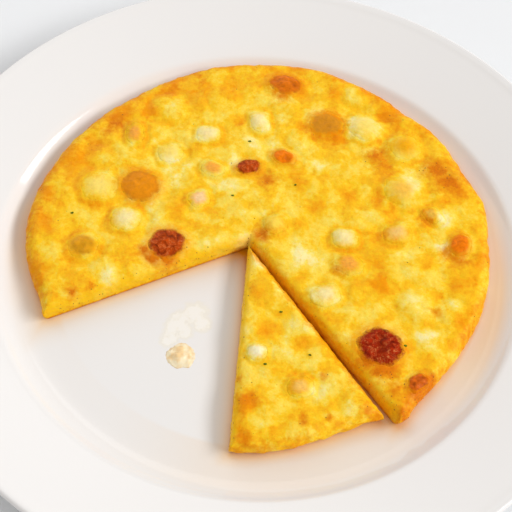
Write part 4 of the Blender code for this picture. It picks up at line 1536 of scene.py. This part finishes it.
def finish_shape_tree(tree, shape, material):
    """End a tree with its shape as real geometry of one material."""
    real = add_node(tree, "GeometryNodeRealizeInstances", {"Geometry": shape})
    finished = add_node(tree, "GeometryNodeSetMaterial", {
        "Geometry": real.outputs[0], "Material": material})
    add_node(tree, "NodeGroupOutput", {0: finished.outputs[0]})
    return tree


def lathe_tree(material):
    """Geometry Nodes that turn a section of points about Z into a closed, smooth body."""
    tree, given = new_shape_tree("lathe", {
        "Section": "Geometry", "Rows": "Int", "Turns": "Int", "Weld": "Float"}, "Body")

    # A flat sheet gives the faces: X is the way along the section, Y the turn.
    columns = add_node(tree, "ShaderNodeMath", {0: given.outputs["Turns"], 1: 1.0})
    sheet = add_node(tree, "GeometryNodeMeshGrid", {
        "Size X": 1.0, "Size Y": 1.0, "Vertices X": given.outputs["Rows"],
        "Vertices Y": columns.outputs[0]})
    place = add_node(tree, "ShaderNodeSeparateXYZ", {
        0: add_node(tree, "GeometryNodeInputPosition").outputs[0]})
    last = add_node(tree, "ShaderNodeMath", {
        0: given.outputs["Rows"], 1: 1.0}, operation="SUBTRACT")
    share = add_node(tree, "ShaderNodeMath", {0: place.outputs["X"], 1: 0.5})
    row = add_node(tree, "ShaderNodeMath", {
        0: share.outputs[0], 1: last.outputs[0]}, operation="MULTIPLY")
    row = add_node(tree, "ShaderNodeMath", {0: row.outputs[0]}, operation="ROUND")
    read = add_node(tree, "GeometryNodeSampleIndex", {
        "Geometry": given.outputs["Section"],
        "Value": add_node(tree, "GeometryNodeInputPosition").outputs[0],
        "Index": row.outputs[0]}, data_type="FLOAT_VECTOR", domain="POINT")
    turn = add_node(tree, "ShaderNodeMath", {
        0: place.outputs["Y"], 1: 2.0 * math.pi}, operation="MULTIPLY")
    turned = add_node(tree, "ShaderNodeVectorRotate", {
        "Vector": read.outputs[0], "Angle": turn.outputs[0]}, rotation_type="Z_AXIS")
    formed = add_node(tree, "GeometryNodeSetPosition", {
        "Geometry": sheet.outputs["Mesh"], "Position": turned.outputs[0]})
    welded = add_node(tree, "GeometryNodeMergeByDistance", {
        "Geometry": formed.outputs[0], "Distance": given.outputs["Weld"]})
    smooth = add_node(tree, "GeometryNodeSetShadeSmooth", {"Geometry": welded.outputs[0]})
    return finish_shape_tree(tree, smooth.outputs[0], material)


def scatter_tree(material):
    """Geometry Nodes that lay small ragged flakes on the points of a mesh, turned at random."""
    tree, given = new_shape_tree("scatter", {
        "Surface": "Geometry", "Size": "Float", "Flatness": "Float", "Density": "Float",
        "Seed": "Int"}, "Flakes")
    strength = add_node(tree, "GeometryNodeInputNamedAttribute", {
        "Name": "scatter"}, data_type="FLOAT")
    density = add_node(tree, "ShaderNodeMath", {
        0: strength.outputs[0], 1: given.outputs["Density"]}, operation="MULTIPLY")
    spots = add_node(tree, "GeometryNodeDistributePointsOnFaces", {
        "Mesh": given.outputs["Surface"], "Density": density.outputs[0],
        "Seed": given.outputs["Seed"]}, distribute_method="RANDOM")
    flake = add_node(tree, "GeometryNodeMeshIcoSphere", {"Radius": 0.5, "Subdivisions": 1})
    ragged = add_node(tree, "ShaderNodeTexNoise", {"Scale": 1.3, "Detail": 1.0})
    push = add_node(tree, "ShaderNodeVectorMath", {
        0: ragged.outputs["Color"], 1: (0.5, 0.5, 0.5)}, operation="SUBTRACT")
    bent = add_node(tree, "GeometryNodeSetPosition", {
        "Geometry": flake.outputs["Mesh"], "Offset": push.outputs[0]})
    width = add_node(tree, "FunctionNodeRandomValue", {
        2: 0.45, 3: 1.15, "Seed": given.outputs["Seed"]}, data_type="FLOAT")
    size = add_node(tree, "ShaderNodeMath", {
        0: width.outputs[1], 1: given.outputs["Size"]}, operation="MULTIPLY")
    thick = add_node(tree, "ShaderNodeMath", {
        0: size.outputs[0], 1: given.outputs["Flatness"]}, operation="MULTIPLY")
    narrow = add_node(tree, "ShaderNodeMath", {
        0: size.outputs[0], 1: 0.6}, operation="MULTIPLY")
    scale = add_node(tree, "ShaderNodeCombineXYZ", {
        0: size.outputs[0], 1: narrow.outputs[0], 2: thick.outputs[0]})
    laid = add_node(tree, "GeometryNodeInstanceOnPoints", {
        "Points": spots.outputs["Points"], "Instance": bent.outputs[0],
        "Rotation": spots.outputs["Rotation"], "Scale": scale.outputs[0]})
    spin = add_node(tree, "FunctionNodeRandomValue", {
        2: 0.0, 3: 2.0 * math.pi, "Seed": given.outputs["Seed"]}, data_type="FLOAT")
    spin = add_node(tree, "ShaderNodeCombineXYZ", {2: spin.outputs[1]})
    turned = add_node(tree, "GeometryNodeRotateInstances", {
        "Instances": laid.outputs[0], "Rotation": spin.outputs[0]})
    return finish_shape_tree(tree, turned.outputs[0], material)


def speckled_surface(egg):
    """Copy a body of egg and store how thickly the toasted specks lie on it."""
    mesh = egg.copy()
    toasted, cut = (get_attribute(mesh, name) for name in ("toasted", "cut"))
    # A few lie everywhere, more at the knife cuts and most where the egg is toasted, which includes
    # the spots of painted shade.
    scatter = 0.012 + 0.35 * cut + 0.6 * np.clip(toasted - 0.15, 0.0, 1.0)
    set_attribute(mesh, "scatter", scatter)
    return mesh


def herb_mesh(settings):
    """Return the mesh of the herb flecks: thin, ragged scraps that lie on the egg."""
    random = np.random.default_rng(settings.seed)
    places = FOOD_MIDDLE + np.array(SEEN_FLECKS) * MM
    clearance, thickness = 0.15 * MM, 0.2 * MM
    heights = top_of_egg(places) + clearance
    corners = 7
    points, faces = [], []
    for (x, y), height in zip(places, heights):
        turn = random.uniform(0.0, 2.0 * math.pi)
        base = len(points)
        for spread, lift in ((1.0, 0.0), (0.75, thickness)):
            for i in range(corners):
                angle = turn + i * 2.0 * math.pi / corners
                reach = 0.5 * settings.fleck_size * spread * random.uniform(0.6, 1.15)
                points.append((
                    x + reach * math.cos(angle), y + 0.7 * reach * math.sin(angle),
                    height + lift))
        faces.append(tuple(base + corners - 1 - i for i in range(corners)))
        faces.append(tuple(base + corners + i for i in range(corners)))
        faces += band_faces(base, corners)
    return plain_mesh("herb_flecks", points, faces)


def flake_mesh():
    """Return the mesh of the fallen flake: a ragged lump of potato, flat underneath."""
    low, high = (np.array(corner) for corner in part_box("potato_crumb"))
    middle, half = 0.5 * (low + high), 0.5 * (high - low)
    bm = bmesh.new()
    bmesh.ops.create_icosphere(bm, subdivisions=5, radius=1.0)
    for vert in bm.verts:
        co = vert.co
        side = Vector((co.x, co.y, 0.0)).normalized()
        ragged = 0.98 + 0.18 * noise.noise(side * 1.6) + 0.07 * noise.noise(side * 4.0)
        lumpy = 0.75 + 0.6 * noise.noise(co * 2.5)
        vert.co = (
            middle[0] + 1.12 * co.x * ragged * half[0],
            middle[1] + co.y * ragged * half[1],
            WELL_FLOOR + 0.02 * MM + 1.6 * max(co.z, 0.0) ** 2 * lumpy * half[2])
    mesh = bpy.data.meshes.new("potato_flake")
    bm.to_mesh(mesh)
    bm.free()
    return mesh


def run_nodes(mesh, tree, values, name):
    """Run a Geometry Nodes tree on a mesh and return the plain mesh that it makes."""
    item = bpy.data.objects.new(name, mesh)
    bpy.context.scene.collection.objects.link(item)
    step = item.modifiers.new("Shape", "NODES")
    step.node_group = tree
    for socket in tree.interface.items_tree:
        if socket.name in values:
            step[socket.identifier] = values[socket.name]
    evaluated = item.evaluated_get(bpy.context.evaluated_depsgraph_get())
    result = bpy.data.meshes.new_from_object(evaluated)
    result.name = name
    bpy.data.objects.remove(item)
    bpy.data.meshes.remove(mesh)
    return result


class FRITTATA_OT_plate(bpy.types.Operator):
    """Turn the glazed plate from its section"""

    bl_idname = "frittata.plate"
    bl_label = "Plate"

    def execute(self, context):
        settings = context.scene.frittata_plate
        section = plate_section(settings)
        outline = bpy.data.meshes.new("plate_section")
        outline.from_pydata([(radius, 0.0, height) for radius, height in section], [], [])
        material = porcelain_material(settings)
        values = {"Rows": len(section), "Turns": settings.turns, "Weld": 0.001 * MM}
        mesh = run_nodes(outline, lathe_tree(material), values, "plate_glazed")
        turn_outwards(mesh)
        points = mesh_points(mesh)
        oil, juice_shade_and_bounce = oil_shade_and_bounce_on_plate(points, settings)
        set_attribute(mesh, "oil", oil)
        set_attribute(mesh, "juice_shade_and_bounce", juice_shade_and_bounce)
        set_attribute(mesh, "smear", smear_on_plate(points))
        add_piece_object("plate_glazed", mesh, material, nodes=("plate",), slot="porcelain")
        return {"FINISHED"}


class FRITTATA_OT_egg(bpy.types.Operator):
    """Build the two bodies of egg with their relief and colour fields"""

    bl_idname = "frittata.egg"
    bl_label = "Egg"

    def execute(self, context):
        settings = context.scene.frittata_egg
        material = egg_material(egg_look(settings))
        for node in BODIES:
            mesh = egg_mesh(node, settings)
            add_piece_object(node + "_egg", mesh, material, nodes=(node,), slot="egg")
        return {"FINISHED"}


class FRITTATA_OT_pieces(bpy.types.Operator):
    """Build the diced potato, chorizo, ham and onion in the egg"""

    bl_idname = "frittata.pieces"
    bl_label = "Diced pieces"

    def execute(self, context):
        settings = context.scene.frittata_pieces
        egg = context.scene.frittata_egg
        look = bpy.data.node_groups["egg_look"]
        materials = {
            "potato": potato_material(look),
            "chorizo": chorizo_material(look, settings),
            "ham": ham_material(look, settings),
            "onion": onion_material(look),
        }
        for piece in PIECES:
            mesh = piece_mesh(piece, settings, egg)
            add_piece_object(
                piece.node + "_diced", mesh, materials[piece.kind], nodes=(piece.node,),
                slot=piece.kind)
        return {"FINISHED"}


class FRITTATA_OT_specks(bpy.types.Operator):
    """Scatter toasted specks over the egg and lay the herb flecks on it"""

    bl_idname = "frittata.specks"
    bl_label = "Flecks and specks"

    def execute(self, context):
        settings = context.scene.frittata_bits
        material = toasted_material(settings)
        values = {"Size": settings.speck_size, "Flatness": 0.4, "Seed": settings.seed,
                  "Density": settings.speck_density}
        for node in BODIES:
            surface = speckled_surface(bpy.data.objects[node + "_egg"].data)
            mesh = run_nodes(surface, scatter_tree(material), values, node + "_specks")
            add_piece_object(node + "_specks", mesh, material)
        add_piece_object("herb_flecks", herb_mesh(settings), herb_material(settings))
        return {"FINISHED"}


class FRITTATA_OT_flake(bpy.types.Operator):
    """Build the fallen potato flake on the bare part of the plate"""

    bl_idname = "frittata.flake"
    bl_label = "Fallen flake"

    def execute(self, context):
        add_piece_object(
            "potato_flake", flake_mesh(), flake_material(context.scene.frittata_bits),
            nodes=("potato_crumb",), slot="potato")
        return {"FINISHED"}


class FRITTATA_OT_stage(bpy.types.Operator):
    """Set the pale floor, the soft light on the right and the camera"""

    bl_idname = "frittata.stage"
    bl_label = "Stage"

    def execute(self, context):
        settings = context.scene.frittata_stage
        self.add_floor(settings)
        self.add_lights(context, settings)
        self.add_camera(context)
        context.scene.view_settings.view_transform = "Standard"
        return {"FINISHED"}

    def add_floor(self, settings):
        """Add the plain floor under the plate."""
        bm = bmesh.new()
        bmesh.ops.create_grid(bm, x_segments=8, y_segments=8, size=2.0)
        mesh = bpy.data.meshes.new("floor")
        bmesh.ops.translate(bm, verts=bm.verts, vec=(0.0, 0.0, -0.1 * MM))
        bm.to_mesh(mesh)
        bm.free()
        material, _, shader = new_material("floor_painted_matt", 0.6)
        shader.inputs["Base Color"].default_value = (*settings.floor, 1.0)
        mesh.materials.append(material)
        floor = bpy.data.objects.new("floor", mesh)
        bpy.context.scene.collection.objects.link(floor)

    def add_lights(self, context, settings):
        """Add the wide soft light, a weak reflector behind and even surroundings."""
        # Name, turn from +X and height in degrees, distance, width and height, and power.
        lights = (
            ("window", settings.key_azimuth, settings.key_elevation, settings.key_distance,
             (3.6, 1.0), settings.key_power),
            ("reflector", 120.0, 35.0, 2.5, (2.8, 2.0), settings.fill_power),
        )
        for name, azimuth, elevation, distance, size, power in lights:
            light = bpy.data.lights.new(name, "AREA")
            light.shape = "RECTANGLE"
            light.size, light.size_y = size
            light.energy = power
            lamp = bpy.data.objects.new(name, light)
            context.scene.collection.objects.link(lamp)
            flat = unit(azimuth) * math.cos(math.radians(elevation))
            away = Vector((flat[0], flat[1], math.sin(math.radians(elevation))))
            lamp.location = away * distance
            lamp.rotation_euler = away.to_track_quat("Z", "Y").to_euler()
        world = bpy.data.worlds.new("studio")
        world.use_nodes = True
        sky = world.node_tree.nodes["Background"]
        sky.inputs["Color"].default_value = (*linear_rgb("FFFCFA"), 1.0)
        sky.inputs["Strength"].default_value = settings.sky
        context.scene.world = world

    def add_camera(self, context):
        """Add the camera at the photograph's viewing angle."""
        height = math.radians(CAMERA_ELEVATION)
        roll = math.radians(CAMERA_ROLL)
        back = Vector((0.0, -math.cos(height), math.sin(height)))
        level = Vector((1.0, 0.0, 0.0))
        upright = back.cross(level)
        right = level * math.cos(roll) + upright * math.sin(roll)
        up = upright * math.cos(roll) - level * math.sin(roll)
        camera = bpy.data.cameras.new("camera")
        camera.sensor_width = 36.0
        camera.lens = CAMERA_LENS
        camera.clip_start = 0.01
        item = bpy.data.objects.new("camera", camera)
        context.scene.collection.objects.link(item)
        turn = Matrix((right, up, back)).transposed().to_4x4()
        item.matrix_world = Matrix.Translation(CAMERA_TARGET + back * CAMERA_DISTANCE) @ turn
        context.scene.camera = item


OPERATORS = (
    FRITTATA_OT_plate,
    FRITTATA_OT_egg,
    FRITTATA_OT_pieces,
    FRITTATA_OT_specks,
    FRITTATA_OT_flake,
    FRITTATA_OT_stage,
)
SETTINGS = {
    "frittata_plate": PlateSettings,
    "frittata_egg": EggSettings,
    "frittata_pieces": PieceSettings,
    "frittata_bits": BitsSettings,
    "frittata_stage": StageSettings,
}


class FRITTATA_PT_builder(bpy.types.Panel):
    """Lists the pieces and their settings"""

    bl_idname = "FRITTATA_PT_builder"
    bl_label = "Potato Frittata"
    bl_space_type = "VIEW_3D"
    bl_region_type = "UI"
    bl_category = "Frittata"

    def draw(self, context):
        for name, group in SETTINGS.items():
            box = self.layout.box()
            for field in group.__annotations__:
                box.prop(getattr(context.scene, name), field)
        for operator in OPERATORS:
            self.layout.operator(operator.bl_idname)


def register():
    """Register every class and attach the settings to the scene."""
    for name, group in SETTINGS.items():
        bpy.utils.register_class(group)
        setattr(bpy.types.Scene, name, PointerProperty(type=group))
    for operator in OPERATORS:
        bpy.utils.register_class(operator)
    bpy.utils.register_class(FRITTATA_PT_builder)


def unregister():
    """Remove every class and the scene's settings."""
    bpy.utils.unregister_class(FRITTATA_PT_builder)
    for operator in reversed(OPERATORS):
        bpy.utils.unregister_class(operator)
    for name, group in SETTINGS.items():
        delattr(bpy.types.Scene, name)
        bpy.utils.unregister_class(group)


def main():
    """Build every piece."""
    register()
    bpy.ops.frittata.plate()
    bpy.ops.frittata.egg()
    bpy.ops.frittata.pieces()
    bpy.ops.frittata.specks()
    bpy.ops.frittata.flake()
    bpy.ops.frittata.stage()
    bpy.context.view_layer.update()


if __name__ == "__main__":
    main()
